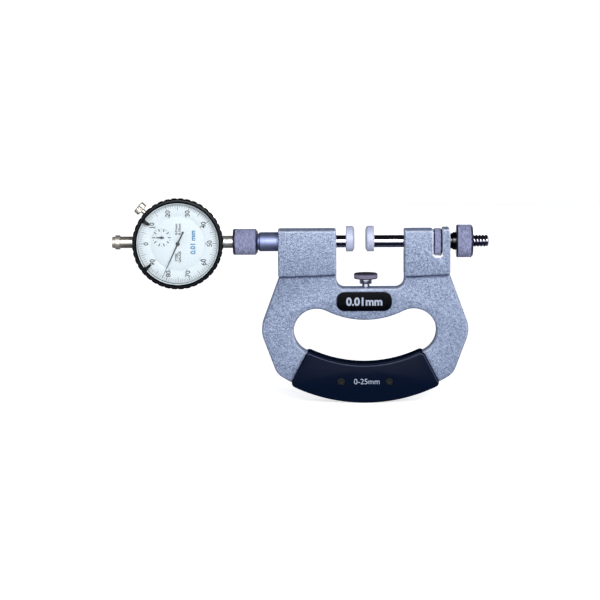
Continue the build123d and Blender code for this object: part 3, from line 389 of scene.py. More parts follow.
def strokes(name, centre, y, items, depth=0.03):
    """Printed straight strokes; items are (angle, inner radius, outer radius, width) about a centre."""
    piece = empty_piece(name)
    shape = bmesh.new()
    for angle, inner, outer, width in items:
        size = Matrix.Diagonal(((outer - inner) * MM, depth * MM, width * MM, 1))
        out = Matrix.Translation(((inner + outer) / 2 * MM, 0, 0))
        place = Matrix.Translation((centre[0] * MM, (y - depth / 2) * MM, centre[1] * MM))
        turned = Matrix.Rotation(-radians(angle), 4, "Y")
        bmesh.ops.create_cube(shape, size=1, matrix=place @ turned @ out @ size)
    shape.to_mesh(piece.data)
    shape.free()
    return piece


# Materials


def node(tree, kind, location=(0, 0), **settings):
    made = tree.nodes.new(kind)
    made.location = location
    for key, value in settings.items():
        setattr(made, key, value)
    return made


def feed(tree, value, socket):
    """Gives an input another node's value or a constant."""
    if isinstance(value, bpy.types.NodeSocket):
        tree.links.new(value, socket)
    else:
        socket.default_value = value


def maths(tree, operation, first, second, location):
    """One step of arithmetic on two values, each a socket or a constant."""
    made = node(tree, "ShaderNodeMath", location, operation=operation)
    feed(tree, first, made.inputs[0])
    feed(tree, second, made.inputs[1])
    return made.outputs[0]


def agreement(tree, first, second, location):
    """The dot product of two directions, each a socket or a constant."""
    made = node(tree, "ShaderNodeVectorMath", location, operation="DOT_PRODUCT")
    feed(tree, first, made.inputs[0])
    feed(tree, second, made.inputs[1])
    return made.outputs["Value"]


def graded(tree, value, start, end, location, low=0.0, high=1.0):
    """Runs from low to high between two values, and stays level beyond them."""
    made = node(tree, "ShaderNodeMapRange", location)
    for key, number in (("From Min", start), ("From Max", end), ("To Min", low), ("To Max", high)):
        made.inputs[key].default_value = number
    tree.links.new(value, made.inputs["Value"])
    return made.outputs["Result"]


def material(name, base, metallic=0.0, roughness=0.5, **sockets):
    """Material with one Principled shader and constants on its own sockets."""
    made = bpy.data.materials.new(name)
    made.use_nodes = True
    shader = made.node_tree.nodes["Principled BSDF"]
    shader.inputs["Base Color"].default_value = (*base, 1)
    shader.inputs["Metallic"].default_value = metallic
    shader.inputs["Roughness"].default_value = roughness
    for key, value in sockets.items():
        shader.inputs[key].default_value = value
    return made, made.node_tree, shader


def object_coordinates(tree, stretch=(1, 1, 1)):
    """Object coordinates, stretched along the axes, in metres."""
    coordinates = node(tree, "ShaderNodeTexCoord", (-1200, 0))
    mapping = node(tree, "ShaderNodeMapping", (-1000, 0))
    mapping.inputs["Scale"].default_value = stretch
    tree.links.new(coordinates.outputs["Object"], mapping.inputs["Vector"])
    return mapping.outputs["Vector"]


def noise(tree, vector, scale, detail=2.0, location=(-800, 0), distortion=0.0):
    made = node(tree, "ShaderNodeTexNoise", location)
    for key, number in (("Scale", scale), ("Detail", detail), ("Distortion", distortion)):
        made.inputs[key].default_value = number
    tree.links.new(vector, made.inputs["Vector"])
    return made.outputs["Fac"]


def ramp(tree, value, stops, location=(-500, 0)):
    """Colour ramp through (position, colour) stops."""
    made = node(tree, "ShaderNodeValToRGB", location)
    elements = made.color_ramp.elements
    while len(elements) < len(stops):
        elements.new(0.5)
    for element, (position, shade) in zip(elements, stops):
        element.position = position
        element.color = (*shade, 1)
    tree.links.new(value, made.inputs["Fac"])
    return made.outputs["Color"]


def spread(tree, value, low, high):
    """Maps the middle of a noise onto a range."""
    return graded(tree, value, 0.3, 0.7, (-500, -200), low, high)


def bump(tree, shader, height, distance, strength=1.0):
    made = node(tree, "ShaderNodeBump", (-250, -400))
    made.inputs["Strength"].default_value = strength
    made.inputs["Distance"].default_value = distance * MM
    tree.links.new(height, made.inputs["Height"])
    tree.links.new(made.outputs["Normal"], shader.inputs["Normal"])


def matt_at_a_slant(tree, shader, level):
    """Fades the gloss at low angles, so that the white surroundings don't show in it."""
    facing = node(tree, "ShaderNodeLayerWeight", (-600, -700))
    facing.inputs["Blend"].default_value = 0.5
    fade = graded(tree, facing.outputs["Facing"], 0.35, 0.8, (-400, -700), level, 0.0)
    tree.links.new(fade, shader.inputs["Specular IOR Level"])


# Direction of the light that the painted edge highlights assume.
LIGHT_FROM_UP_RIGHT = (0.5, 0.0, 0.87)


def edge_mask(tree, radius):
    """Painted highlight: rises from 0 to 1 near edges that face up or right, painted lighter as the
    photograph shows them.
    """
    soft = node(tree, "ShaderNodeBevel", (-900, 600), samples=4)
    soft.inputs["Radius"].default_value = radius * MM
    true_normal = node(tree, "ShaderNodeNewGeometry", (-900, 800))
    same = agreement(tree, soft.outputs["Normal"], true_normal.outputs["Normal"], (-700, 600))
    upward = agreement(tree, soft.outputs["Normal"], LIGHT_FROM_UP_RIGHT, (-700, 400))
    near = graded(tree, same, 0.998, 0.93, (-500, 600))
    lit = graded(tree, upward, -0.02, 0.2, (-500, 400))
    return maths(tree, "MULTIPLY", near, lit, (-300, 600))


def mix_colour(tree, factor, first, second, blend="MIX", location=(-250, 100)):
    """Mixes two colours, each a socket or a constant."""
    made = node(tree, "ShaderNodeMix", location, data_type="RGBA", blend_type=blend)
    feed(tree, factor, made.inputs["Factor"])
    for key, shade in (("A", first), ("B", second)):
        feed(tree, (*shade, 1) if isinstance(shade, tuple) else shade, made.inputs[key])
    return made.outputs["Result"]


def crevices(tree, reach, samples, stops, height):
    """Colours a surface by how open it lies, from narrow corners to open faces, for painted shade."""
    shade = node(tree, "ShaderNodeAmbientOcclusion", (-900, height), samples=samples)
    shade.inputs["Distance"].default_value = reach * MM
    return ramp(tree, shade.outputs["AO"], stops, (-600, height))


def hammertone(name, light, dark, size):
    """Hammered enamel: rippled, with painted highlights on edges facing up or right, painted shade in corners
    and a painted shadow line at the head blocks' feet.
    """
    made, tree, shader = material(name, light, 0.1, 0.38)
    vector = object_coordinates(tree)
    ripples = noise(tree, vector, 850 / size, 1.0, distortion=1.2)
    middle = tuple((a + b) / 2 for a, b in zip(light, dark))
    paint = ramp(tree, ripples, [(0.36, dark), (0.5, middle), (0.62, light)])
    # Painted highlight: edges that face up or right are lightened towards near-white.
    edge = maths(tree, "MULTIPLY", edge_mask(tree, 1.6), 0.8, (-300, 500))
    pale = mix_colour(tree, edge, paint, srgb(236, 240, 252))
    # Painted shade: the paint is darkened in corners and recesses.
    shadow = crevices(tree, 2.4, 12, [(0.5, (0.2, 0.22, 0.32)), (0.86, (1, 1, 1))], 900)
    corner_shaded = mix_colour(tree, 1.0, pale, shadow, "MULTIPLY")
    # Painted shadow: a dark navy line on the bow where the head blocks' feet overhang it.
    foot_shadow_mask = crevices(tree, 4.2, 16, [(0.76, (1, 1, 1)), (0.82, (0, 0, 0))], 1200)
    height = node(tree, "ShaderNodeSeparateXYZ", (-900, 1400))
    tree.links.new(vector, height.inputs[0])
    line_start, line_end = -24.4 * MM, -23.6 * MM
    above_bow = graded(tree, height.outputs["Z"], line_start, line_end, (-600, 1400))
    painted_foot_shadow = maths(tree, "MULTIPLY", foot_shadow_mask, above_bow, (-400, 1300))
    foot_shadowed = mix_colour(tree, painted_foot_shadow, corner_shaded, srgb(46, 60, 104), "MIX", (-100, 400))
    tree.links.new(foot_shadowed, shader.inputs["Base Color"])
    bump(tree, shader, ripples, 0.3, 0.9)
    matt_at_a_slant(tree, shader, 0.5)
    return made


def turned_metal(name, base, roughness, axis="X", metallic=1.0, grain=0.004, streaked=False):
    """Turned or ground metal: fine rings round the axis vary gloss and normal, and a knurl is streaked."""
    made, tree, shader = material(name, base, metallic, roughness)
    if streaked:
        streaks = noise(tree, object_coordinates(tree, (1.0, 0.3, 0.3)), 1300, 1.0, (-800, 600))
        dark, light = tuple(c * 0.7 for c in base), tuple(min(1, c * 1.3) for c in base)
        stops = [(0.32, dark), (0.5, base), (0.68, light)]
        tree.links.new(ramp(tree, streaks, stops, (-500, 600)), shader.inputs["Base Color"])
    stretch = {"X": (1, 0.02, 0.02), "Y": (0.02, 1, 0.02), "Z": (0.02, 0.02, 1)}[axis]
    rings = noise(tree, object_coordinates(tree, stretch), 6000, 3.0)
    tree.links.new(spread(tree, rings, roughness * 0.8, roughness * 1.25), shader.inputs["Roughness"])
    bump(tree, shader, rings, grain)
    return made


def lighter_edge(tree, base, shine):
    """Paints a highlight on the rounded edges that face up or right, as the photograph shows them."""
    place = node(tree, "ShaderNodeNewGeometry", (-900, -900))
    upward = agreement(tree, place.outputs["Normal"], LIGHT_FROM_UP_RIGHT, (-700, -900))
    stops = [(0.14, (0, 0, 0)), (0.3, (1, 1, 1)), (0.46, (1, 1, 1)), (0.6, (0, 0, 0))]
    return mix_colour(tree, ramp(tree, upward, stops, (-500, -900)), base, shine)


def grained(name, base, roughness, metallic=0.0, scale=900, depth=0.02, tint=0.12, gloss=None, shine=None):
    """Moulded or painted surface: a fine grain with slight changes of colour and gloss."""
    made, tree, shader = material(name, base, metallic, roughness)
    if gloss is not None:
        matt_at_a_slant(tree, shader, gloss)
    grain = noise(tree, object_coordinates(tree), scale, 3.0)
    low = tuple(c * (1 - tint) for c in base)
    high = tuple(min(1, c * (1 + tint)) for c in base)
    shaded = ramp(tree, grain, [(0.3, low), (0.7, high)])
    # Painted highlight on rounded edges that face up or right, in the shine colour.
    if shine:
        shaded = lighter_edge(tree, shaded, shine)
    tree.links.new(shaded, shader.inputs["Base Color"])
    tree.links.new(spread(tree, grain, roughness * 0.85, roughness * 1.15), shader.inputs["Roughness"])
    bump(tree, shader, grain, depth)
    return made


FINISHES = {}


def make_finishes():
    """All materials, once, under the names that the pieces use."""
    scene = bpy.context.scene
    casting, grip, metal, dial = scene.gauge_casting, scene.gauge_grip, scene.gauge_metal, scene.gauge_dial
    light, dark = tuple(casting.light_paint), tuple(casting.dark_paint)
    chrome, ground, knurl = tuple(metal.chrome), tuple(metal.ground), tuple(metal.knurled)
    # shine is the colour of the grip's painted edge highlights.
    moulding, shine = tuple(grip.moulding), srgb(54, 60, 86)
    FINISHES.update(
        hammertone=hammertone("hammertone", light, dark, casting.speckle),
        # Milled metal, painted near-white as a reflection of the white surroundings.
        milled=turned_metal("milled_slot", srgb(246, 248, 252), 0.5, "Z", metallic=0.0),
        moulding=grained("grip_moulding", moulding, 0.16, scale=1400, depth=0.003, gloss=0.05, shine=shine),
        letters=grained("grip_letters", tuple(grip.letters), 0.5),
        black_plate=grained("black_plate", srgb(4, 6, 11), 0.2, scale=500, depth=0.002, gloss=0.04),
        chrome=turned_metal("hard_chrome", chrome, 0.13),
        stop_chrome=turned_metal("stop_chrome", chrome, 0.16, "Z"),
        blue_chrome=turned_metal("sleeve_chrome", srgb(134, 143, 182), 0.54, metallic=0.92),
        ground=turned_metal("ground_steel", ground, 0.6, metallic=0.1),
        tip=turned_metal("lapped_tip", srgb(180, 186, 206), 0.5, metallic=0.1),
        steel=turned_metal("plain_steel", srgb(190, 192, 200), 0.3),
        knurled=turned_metal("knurled_steel", knurl, 0.6, metallic=0.15, streaked=True),
        knurl_rim=turned_metal("knurl_rim", srgb(72, 70, 104), 0.35, metallic=0.8),
        knob=grained("knob_steel", srgb(122, 118, 142), 0.4, 0.0, scale=2500, gloss=0.3),
        knob_top=grained("knob_top", srgb(58, 54, 68), 0.4, scale=2500, gloss=0.2),
        black_steel=grained("black_steel", srgb(5, 5, 9), 0.16, 0.0, gloss=0.45),
        stem=turned_metal("stem_nickel", srgb(208, 209, 206), 0.36, metallic=0.8),
        nickel=turned_metal("warm_nickel", srgb(208, 202, 192), 0.34, metallic=0.85),
        cap=turned_metal("cap_nickel", srgb(206, 202, 190), 0.4, metallic=0.75),
        screw=grained("screw_steel", srgb(190, 186, 178), 0.32, 0.9, scale=2500, depth=0.004),
        dark_screw=grained("dark_screw", srgb(10, 10, 14), 0.35, 0.5),
        case=grained("case_enamel", srgb(16, 19, 26), 0.38, scale=1500, gloss=0.3),
        bezel=grained("bezel_enamel", tuple(dial.bezel), 0.3, scale=1800, depth=0.006, gloss=0.14),
        face=grained("dial_face", tuple(dial.face), 0.6, scale=700, depth=0.001, tint=0.015),
        ink=grained("dial_ink", tuple(dial.ink), 0.6),
        pale_ink=grained("dial_pale_ink", srgb(100, 116, 122), 0.6),
        blue_ink=grained("dial_blue_ink", tuple(dial.blue_ink), 0.6),
        hand=grained("hand_enamel", srgb(30, 42, 48), 0.5, gloss=0.2),
        marker=grained("marker_enamel", srgb(3, 6, 8), 0.4, gloss=0.15),
        crystal_rim=grained("crystal_rim", srgb(198, 210, 216), 0.3, depth=0.002),
        brass=turned_metal("gear_brass", srgb(205, 172, 96), 0.3, "Y"),
        spring=grained("spring_steel", srgb(168, 170, 176), 0.3, 1.0, scale=3000, depth=0.004),
    )
    glass, tree, shader = material("crystal", (1, 1, 1), 0.0, 0.03, Alpha=0.03, IOR=1.3)
    smears = noise(tree, object_coordinates(tree), 60)
    tree.links.new(spread(tree, smears, 0.02, 0.06), shader.inputs["Roughness"])
    FINISHES["crystal"] = glass


def hand_over(piece, body, slot, finish, *nodes, second=None):
    """Finishes a piece: its named finishes, the body it rides and the nodes it replaces; the record slot
    argument is not used.
    """
    marks = [face.material_index for face in piece.data.polygons]
    piece.data.materials.clear()
    piece.data.materials.append(FINISHES[finish])
    if second:
        piece.data.materials.append(FINISHES[second])
        for face, mark in zip(piece.data.polygons, marks):
            face.material_index = mark
    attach(piece, body)
    if nodes:
        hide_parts(*nodes)
    return piece


# Places on the gauge in millimetres, the same as the frame's

LEFT_FACE, RIGHT_FACE = -11.65, 31.6
LEFT_END, RIGHT_END = -48.8, 60.9
BLOCKS_X = (LEFT_END + RIGHT_END) / 2
BOW_X = BLOCKS_X + 0.6
DISC_RISE = 1.8
FOOT_Z, TOP_Z, FOOT_DROP = -20.5, 7.8, 1.3
SLOT_LEFT, SLOT_RIGHT = 50.0, 56.0
STOP_X = 7.2
DIAL_X = -112.4
DIAL_CENTRE = (DIAL_X, 0, 0)
COUNTER = (DIAL_X - sqrt(11.0**2 - 3.9**2), 3.9)
BOW_Z, BOW_R, HEEL_HALF = 3.0, 104.2, 56.4
CHEEK_HALF, CHEEK_Z, SHOULDER_HALF = 67.1, -56.2, 54.0
THROAT_Z, THROAT_R = -29.4, 5.5
WINDOW_HALF, WINDOW_Z, WINDOW_R, BULGE_R = 31.0, -57.2, 14.6, 55.0
BOW_INNER = WINDOW_R + hypot(WINDOW_HALF, BOW_Z - WINDOW_Z)
SLOT_FLOOR = -8.75


def head_block(name, left, right):
    """One head block with rounded edges and a foot that slopes."""
    settings = bpy.context.scene.gauge_casting
    clear_selection()
    bpy.ops.mesh.primitive_cube_add(size=1, location=(0, 0, 0))
    piece = bpy.context.object
    piece.name = name
    half = settings.block_depth / 2
    for vertex in piece.data.vertices:
        x, y, z = vertex.co
        foot = FOOT_Z - (FOOT_DROP if x < 0 else 0)
        across, depth = (left if x < 0 else right), half * (1 if y > 0 else -1)
        vertex.co = (across * MM, depth * MM, (TOP_Z if z > 0 else foot) * MM)
    soften(piece, settings.block_round, 4)
    return piece


def cut_bore(piece, start, end, radius, axis="X", centre=(0, 0, 0), steps=64):
    """Cuts a round bore."""
    tool = lathe("bore", [(start, 0), (start, radius), (end, radius), (end, 0)], axis, centre, steps)
    boolean(piece, tool, "DIFFERENCE")


def bow_outline():
    """Outline of the bow, up to the head blocks and round the throat, with the bow's middle at x 0."""
    heel_z = BOW_Z - sqrt(BOW_R**2 - HEEL_HALF**2)
    heel_angle = -90 + asin(HEEL_HALF / BOW_R) * 180 / pi
    bottom = [(x, z, 0) for x, z in arc((0, BOW_Z), BOW_R, heel_angle - 4, -180 - heel_angle + 4, 40)]
    heel_r, cheek_r, into_block = 12.0, 17.0, FOOT_Z + 6
    left, right = LEFT_FACE - BOW_X, RIGHT_FACE - BOW_X
    corners = [(HEEL_HALF, heel_z, heel_r)] + bottom + [(-HEEL_HALF, heel_z, heel_r)]
    corners += [(-CHEEK_HALF, CHEEK_Z, cheek_r), (-SHOULDER_HALF, FOOT_Z, 0), (-SHOULDER_HALF, into_block, 0)]
    corners += [(left, into_block, 0), (left, THROAT_Z, THROAT_R)]
    corners += [(right, THROAT_Z, THROAT_R), (right, into_block, 0)]
    corners += [(SHOULDER_HALF, into_block, 0), (SHOULDER_HALF, FOOT_Z, 0), (CHEEK_HALF, CHEEK_Z, cheek_r)]
    return rounded(corners)


def finger_window():
    """Outline of the finger window: round ends, the bow's inner arc below and a bulge above."""
    bulge_z = WINDOW_Z + sqrt((BULGE_R + WINDOW_R) ** 2 - WINDOW_HALF**2)
    up = atan2(bulge_z - WINDOW_Z, -WINDOW_HALF) * 180 / pi
    down = atan2(WINDOW_Z - BOW_Z, WINDOW_HALF) * 180 / pi
    return (
        arc((WINDOW_HALF, WINDOW_Z), WINDOW_R, up, down, 24)[:-1]
        + arc((0, BOW_Z), BOW_INNER, down, -180 - down, 32)[:-1]
        + arc((-WINDOW_HALF, WINDOW_Z), WINDOW_R, -180 - down, -180 - up, 24)[:-1]
        + arc((0, bulge_z), BULGE_R, -up, -180 + up, 24)[:-1]
    )


def slot_rim():
    """Outline of a painted highlight: the bright rim round the foot of the wheel slot, where its edge catches
    the light.
    """
    both, bright = SLOT_LEFT + SLOT_RIGHT, 0.85
    rim = [(SLOT_LEFT, -7.0), (SLOT_LEFT, -7.4), (SLOT_LEFT + 0.45, -8.3), (SLOT_LEFT + 1.5, SLOT_FLOOR)]
    rim += [(both - x, z) for x, z in reversed(rim)]
    under = [(SLOT_RIGHT + 0.05, -8.6), (SLOT_RIGHT - 1.2, SLOT_FLOOR - bright)]
    rim += [(SLOT_RIGHT + 0.15, -7.6)] + under
    return rim + [(both - x, z) for x, z in reversed(under)] + [(SLOT_LEFT - 0.15, -7.6)]


class GAUGE_OT_casting(bpy.types.Operator):
    """Models the C-shaped casting with its head blocks, throat, wheel slot and finger window"""

    bl_idname = "gauge.casting"
    bl_label = "Casting"

    def execute(self, context):
        settings = context.scene.gauge_casting
        half_bow, half_block = settings.bow_depth / 2, settings.block_depth / 2
        loops = [bow_outline(), finger_window()]
        casting = plate("casting", loops, -half_bow, half_bow, settings.rim_round, 3, (BOW_X, 0))
        boolean(casting, head_block("left_block", LEFT_END, LEFT_FACE), "UNION")
        right_block = head_block("right_block", RIGHT_FACE, RIGHT_END)
        tab_top, slot_open, through = TOP_Z + 0.6, 14, 12
        tab = [(SLOT_RIGHT, 0, 0), (RIGHT_END, 0, 0), (RIGHT_END, tab_top, 1.2), (SLOT_RIGHT, tab_top, 0.8)]
        boolean(right_block, plate("tab", [rounded(tab)], -half_block, half_block, 0.5), "UNION")
        floor = [(SLOT_LEFT, SLOT_FLOOR, 1.5), (SLOT_RIGHT, SLOT_FLOOR, 1.5)]
        slot = [(SLOT_LEFT, slot_open, 0)] + floor + [(SLOT_RIGHT, slot_open, 0)]
        boolean(right_block, plate("slot", [rounded(slot)], -through, through), "DIFFERENCE")
        boolean(casting, right_block, "UNION")
        bush_r, rod_r, collet_r, key_r, stop_r = 6.01, 4.3, 4.91, 2.51, 2.53
        cut_bore(casting, LEFT_END - 1, LEFT_FACE + 1, bush_r)
        cut_bore(casting, RIGHT_FACE - 1, RIGHT_FACE + 17.6, bush_r)
        cut_bore(casting, RIGHT_FACE + 17, SLOT_LEFT + 1, rod_r)
        cut_bore(casting, SLOT_RIGHT - 1, RIGHT_END + 1, collet_r)
        for key_x in (LEFT_FACE - 6.35, RIGHT_FACE + 4.4):
            cut_bore(casting, 3.0, 11.0, key_r, "Y", (key_x, 0, 0), 32)
        cut_bore(casting, -44.2, -29.0, stop_r, "Z", (STOP_X, 0, 0), 32)
        mend(casting)
        soften(casting, 0.25, 2, 40)
        smooth(casting, 40)

        def in_slot(face):
            place = face.center / MM
            across = SLOT_LEFT - 0.1 < place.x < SLOT_RIGHT + 0.1
            return across and place.z > SLOT_FLOOR - 0.55 and abs(place.y) < half_block - 0.1

        # The slot's faces take the milled finish, whose near-white is a painted reflection.
        mark_second(casting, in_slot)
        hand_over(casting, "frame_body", "hammer_paint", "hammertone", "frame", second="milled")
        # A thin sheet on the block's front face, painted as a highlight round the slot's foot.
        slot_highlight = plate("slot_highlight", [slot_rim()], -half_block - 0.04, -half_block + 0.1)
        hand_over(slot_highlight, "frame_body", "hammer_paint", "milled")
        return {"FINISHED"}


def grip_sector(inner, outer, half_angle, corner):
    """Outline of a ring sector about the bow's centre."""
    low, high = -90 - half_angle, -90 + half_angle
    top = [(x, z, 0) for x, z in arc((0, BOW_Z), inner, low + 3, high - 3, 24)]
    bottom = [(x, z, 0) for x, z in arc((0, BOW_Z), outer, high - 3, low + 3, 24)]
    ends = ((inner, low), (inner, high), (outer, high), (outer, low))
    a, b, c, d = [(*arc((0, BOW_Z), radius, angle, angle, 1)[0], corner) for radius, angle in ends]
    return rounded([a] + top + [b, c] + bottom + [d], 6)


def grip_screw(x, z):
    """One socket-headed screw of the grip and its shank."""
    cap = [(-9.0, 0), (-9.0, 2.3), (-8.8, 2.5), (-8.1, 2.5), (-8.1, 0)]
    head = lathe("screw", cap, "Y", (x, 0, z), 32)
    socket = lathe("socket", [(-9.2, 0), (-9.2, 1.25), (-8.3, 1.25), (-8.3, 0)], "Y", (x, 0, z), 6)
    boolean(head, socket, "DIFFERENCE")
    shank = lathe("shank", [(-8.1, 0), (-8.1, 1.5), (9.5, 1.5), (9.5, 0)], "Y", (x, 0, z), 32)
    return [smooth(head, 30), shank]


class GAUGE_OT_grip(bpy.types.Operator):
    """Models the two grip covers, their screws and the printed range"""

    bl_idname = "gauge.grip"
    bl_label = "Grip"

    def execute(self, context):
        settings = context.scene.gauge_grip
        half_spacing, screw_r = 15.5, (BOW_INNER + BOW_R) / 2 + 0.2
        screw_angle = half_spacing / screw_r
        screw_x, screw_z = screw_r * sin(screw_angle), BOW_Z - screw_r * cos(screw_angle)
        places = [(BOW_X - screw_x, screw_z), (BOW_X + screw_x, screw_z)]
        skin, hollow_depth, half_angle, corner = 10.2, 7.15, 27.0, 3.0
        top_r, foot_r, hollow_top_r, hollow_foot_r = 81.213, 105.98, 82.16, 104.35
        shell = grip_sector(top_r, foot_r, half_angle, corner)
        hollow = grip_sector(hollow_top_r, hollow_foot_r, half_angle + 4.0, 0)
        for name, side in (("front_cover", -1), ("rear_cover", 1)):
            cover = plate(name, [shell], -skin, skin, 1.5, 4, (BOW_X, 0))
            inside = plate("hollow", [hollow], -hollow_depth, hollow_depth, 0.0, 1, (BOW_X, 0))
            boolean(cover, inside, "DIFFERENCE")
            pick(cover)
            bpy.ops.object.mode_set(mode="EDIT")
            bpy.ops.mesh.select_all(action="SELECT")
            bpy.ops.mesh.bisect(
                plane_co=(0, 0, 0), plane_no=(0, side, 0), clear_inner=True, use_fill=True, threshold=1e-7
            )
            bpy.ops.object.mode_set(mode="OBJECT")
            head_r, shank_r, nut_r = 2.6, 1.6, 2.51
            for x, z in places:
                if side < 0:
                    cut_bore(cover, -10.3, -8.1, head_r, "Y", (x, 0, z), 40)
                    cut_bore(cover, -8.2, -6.9, shank_r, "Y", (x, 0, z), 40)
                else:
                    cut_bore(cover, 6.9, 10.3, nut_r, "Y", (x, 0, z), 40)
            mend(cover)
            smooth(cover, 30)
            replaced = "front_grip" if side < 0 else "rear_grip"
            hand_over(cover, "frame_body", "grip_plastic", "moulding", replaced)
        screws = join([part for x, z in places for part in grip_screw(x, z)], "grip_screw_pair")
        hand_over(screws, "frame_body", "screw_steel", "dark_screw", "grip_screws")
        words = lettering("grip_range", [("0-25mm", settings.letter_height, BOW_X + 0.9, -89.0, 0)], -skin)
        hand_over(words, "frame_body", "grip_plastic", "letters")
        return {"FINISHED"}


class GAUGE_OT_badge(bpy.types.Operator):
    """Models the black badge plate with its generic figures"""

    bl_idname = "gauge.badge"
    bl_label = "Badge plate"

    def execute(self, context):
        width, height, corner = 35.2, 12.2, 5.0
        x, z = width / 2, height / 2
        front, middle = -7.6, (BLOCKS_X, -37.9)
        outline = rounded([(-x, -z, corner), (x, -z, corner), (x, z, corner), (-x, z, corner)], 10)
        badge = plate("badge", [outline], front, -7.0, 0.2, 3, middle)
        hand_over(smooth(badge, 40), "frame_body", "black_plate", "black_plate", "badge_plate")
        division = lettering("badge_figures", [("0.01mm", 5.0, *middle, 0)], front, weight=0.22)
        hand_over(division, "frame_body", "black_plate", "letters")
        return {"FINISHED"}


def cut_thread(piece, start, end, radius, depth, pitch):
    """Rolls a right-hand thread into the fine rows of a turned piece."""

    def rule(a, r, angle):
        if abs(r - radius) > 0.01 or not start <= a <= end:
            return r
        wave = 0.5 - 0.5 * cos(2 * pi * (a / pitch - angle / (2 * pi)))
        fade = min(1.0, (a - start) / pitch, (end - a) / 0.4)
        return r - depth * fade * wave**1.5

    move_radially(piece, "X", (0, 0, 0), rule)
    return smooth(piece, 40)


def measuring_disc(side, backing, bore, face):
    """The steel disc of one side and the hard tip on it, which stand a little above the spindle's axis."""
    raised = (0, 0, DISC_RISE)
    disc = lathe(side + "_backing", backing, "X", raised, 128)
    spigot_r = 2.51
    cut_bore(disc, *bore, spigot_r)
    smooth(disc, 35)
    hand_over(disc, side, "ground_steel", "ground", side + "_disc")
    tip = lathe(side + "_face", face, "X", raised, 128, edge=0.08)
    hand_over(tip, side, "hard_tip", "tip", side + "_tip")


def knurled_finish(piece, body, replaced, band_finish="knurled", rim_finish="knurl_rim"):
    """Hands over a knurled piece with one finish on its band and another on its rims."""
    hand_over(piece, body, "knurled_steel", band_finish, replaced, second=rim_finish)


class GAUGE_OT_anvil_side(bpy.types.Operator):
    """Models the sprung anvil, the chrome sleeve and the nut that clamps the indicator's stem"""

    bl_idname = "gauge.anvil_side"
    bl_label = "Anvil side"

    def execute(self, context):
        profile = [(-50, 0), (-50, 3.5), (-49.5, 4.0), (-5.5, 4.0), (-5.5, 2.5), (-2.5, 2.5), (-2.5, 0)]
        rod = lathe("anvil_rod", profile)
        hand_over(rod, "anvil", "bright_chrome", "chrome", "anvil_spindle")
        backing = [(-5.5, 0), (-5.5, 7.9), (-5.1, 8.3), (-1.5, 8.3), (-1.5, 0)]
        face = [(-1.5, 0), (-1.5, 8.3), (-1.1, 8.3), (0.0, 6.65), (0.0, 0)]
        measuring_disc("anvil", backing, (-6.0, -1.0), face)
        sleeve = lathe(
            "chrome_sleeve",
            [(-70.0, 4.08), (-41.0, 4.08), (-41.0, 6.0), (-48.8, 6.0), (-48.8, 6.15)]
            + arc((-60.0, 5.05), 1.1, 90, 180, 6)
            + [(-61.1, 5.2), (-70.0, 5.2)],
            ring=True,
        )
        hand_over(sleeve, "frame_body", "bright_chrome", "blue_chrome", "anvil_sleeve")
        left = [(-77.6, 4.25), (-77.6, 7.1)] + arc((-76.3, 7.1), 1.3, 180, 100, 5)
        right = [(-62.9, 8.35), (-61.6, 6.7), (-61.6, 5.23), (-75.4, 5.23), (-75.4, 4.25)]
        nut = knurled("stem_nut", left, -76.1, -63.1, 8.4, right)
        knurled_finish(nut, "stem_nut", "stem_clamp_nut")
        return {"FINISHED"}


class GAUGE_OT_adjustable_side(bpy.types.Operator):
    """Models the threaded spindle, its feed wheel, the split collet and the clamp nut"""

    bl_idname = "gauge.adjustable_side"
    bl_label = "Adjustable side"

    def execute(self, context):
        pitch = context.scene.gauge_metal.thread_pitch
        start, end, radius, depth, last = 30.9, 84.7, 3.9, 0.55, 215
        rows = [(start + (end - start) * i / last, radius) for i in range(last + 1)]
        plain = [(9.5, 0), (9.5, 2.5), (12.5, 2.5), (12.5, 4.0), (start - 0.1, 4.0)]
        rod = lathe("spindle_rod", plain + rows + [(85.5, 3.1), (85.5, 0)], steps=48)
        cut_thread(rod, start + 0.1, end + 0.1, radius, depth, pitch)
        hand_over(rod, "spindle", "bright_chrome", "chrome", "spindle")
        backing = [(8.5, 0), (8.5, 8.3), (12.1, 8.3), (12.5, 7.9), (12.5, 0)]
        face = [(8.5, 0), (8.5, 8.3), (8.1, 8.3), (7.0, 6.65), (7.0, 0)]
        measuring_disc("spindle", backing, (8.0, 13.0), face)
        left, right = [(50.25, 3.98), (50.25, 7.45)], [(55.75, 7.45), (55.75, 3.98)]
        wheel = knurled("wheel", left, 51.15, 54.85, 8.35, right)
        knurled_finish(wheel, "feed_wheel", "feed_wheel")
        taper = [(62.3, 4.9), (62.9, 5.65), (69.9, 5.65), (73.3, 4.7), (73.3, 4.0)]
        neck = lathe("split_collet", [(56.2, 4.0), (56.2, 4.9)] + taper, ring=True, steps=64)
        hand_over(neck, "frame_body", "black_steel", "black_steel", "clamp_collet")
        left = [(64.9, 5.68), (64.9, 9.75)] + arc((65.7, 9.75), 0.8, 180, 100, 4)
        right = [(74.4, 10.45), (75.5, 9.35), (75.5, 4.3), (73.3, 4.3), (73.3, 4.74), (69.9, 5.68)]
        nut = knurled("clamping_nut", left, 65.9, 74.1, 10.55, right)
        knurled_finish(nut, "clamp_nut", "clamp_nut")
        return {"FINISHED"}


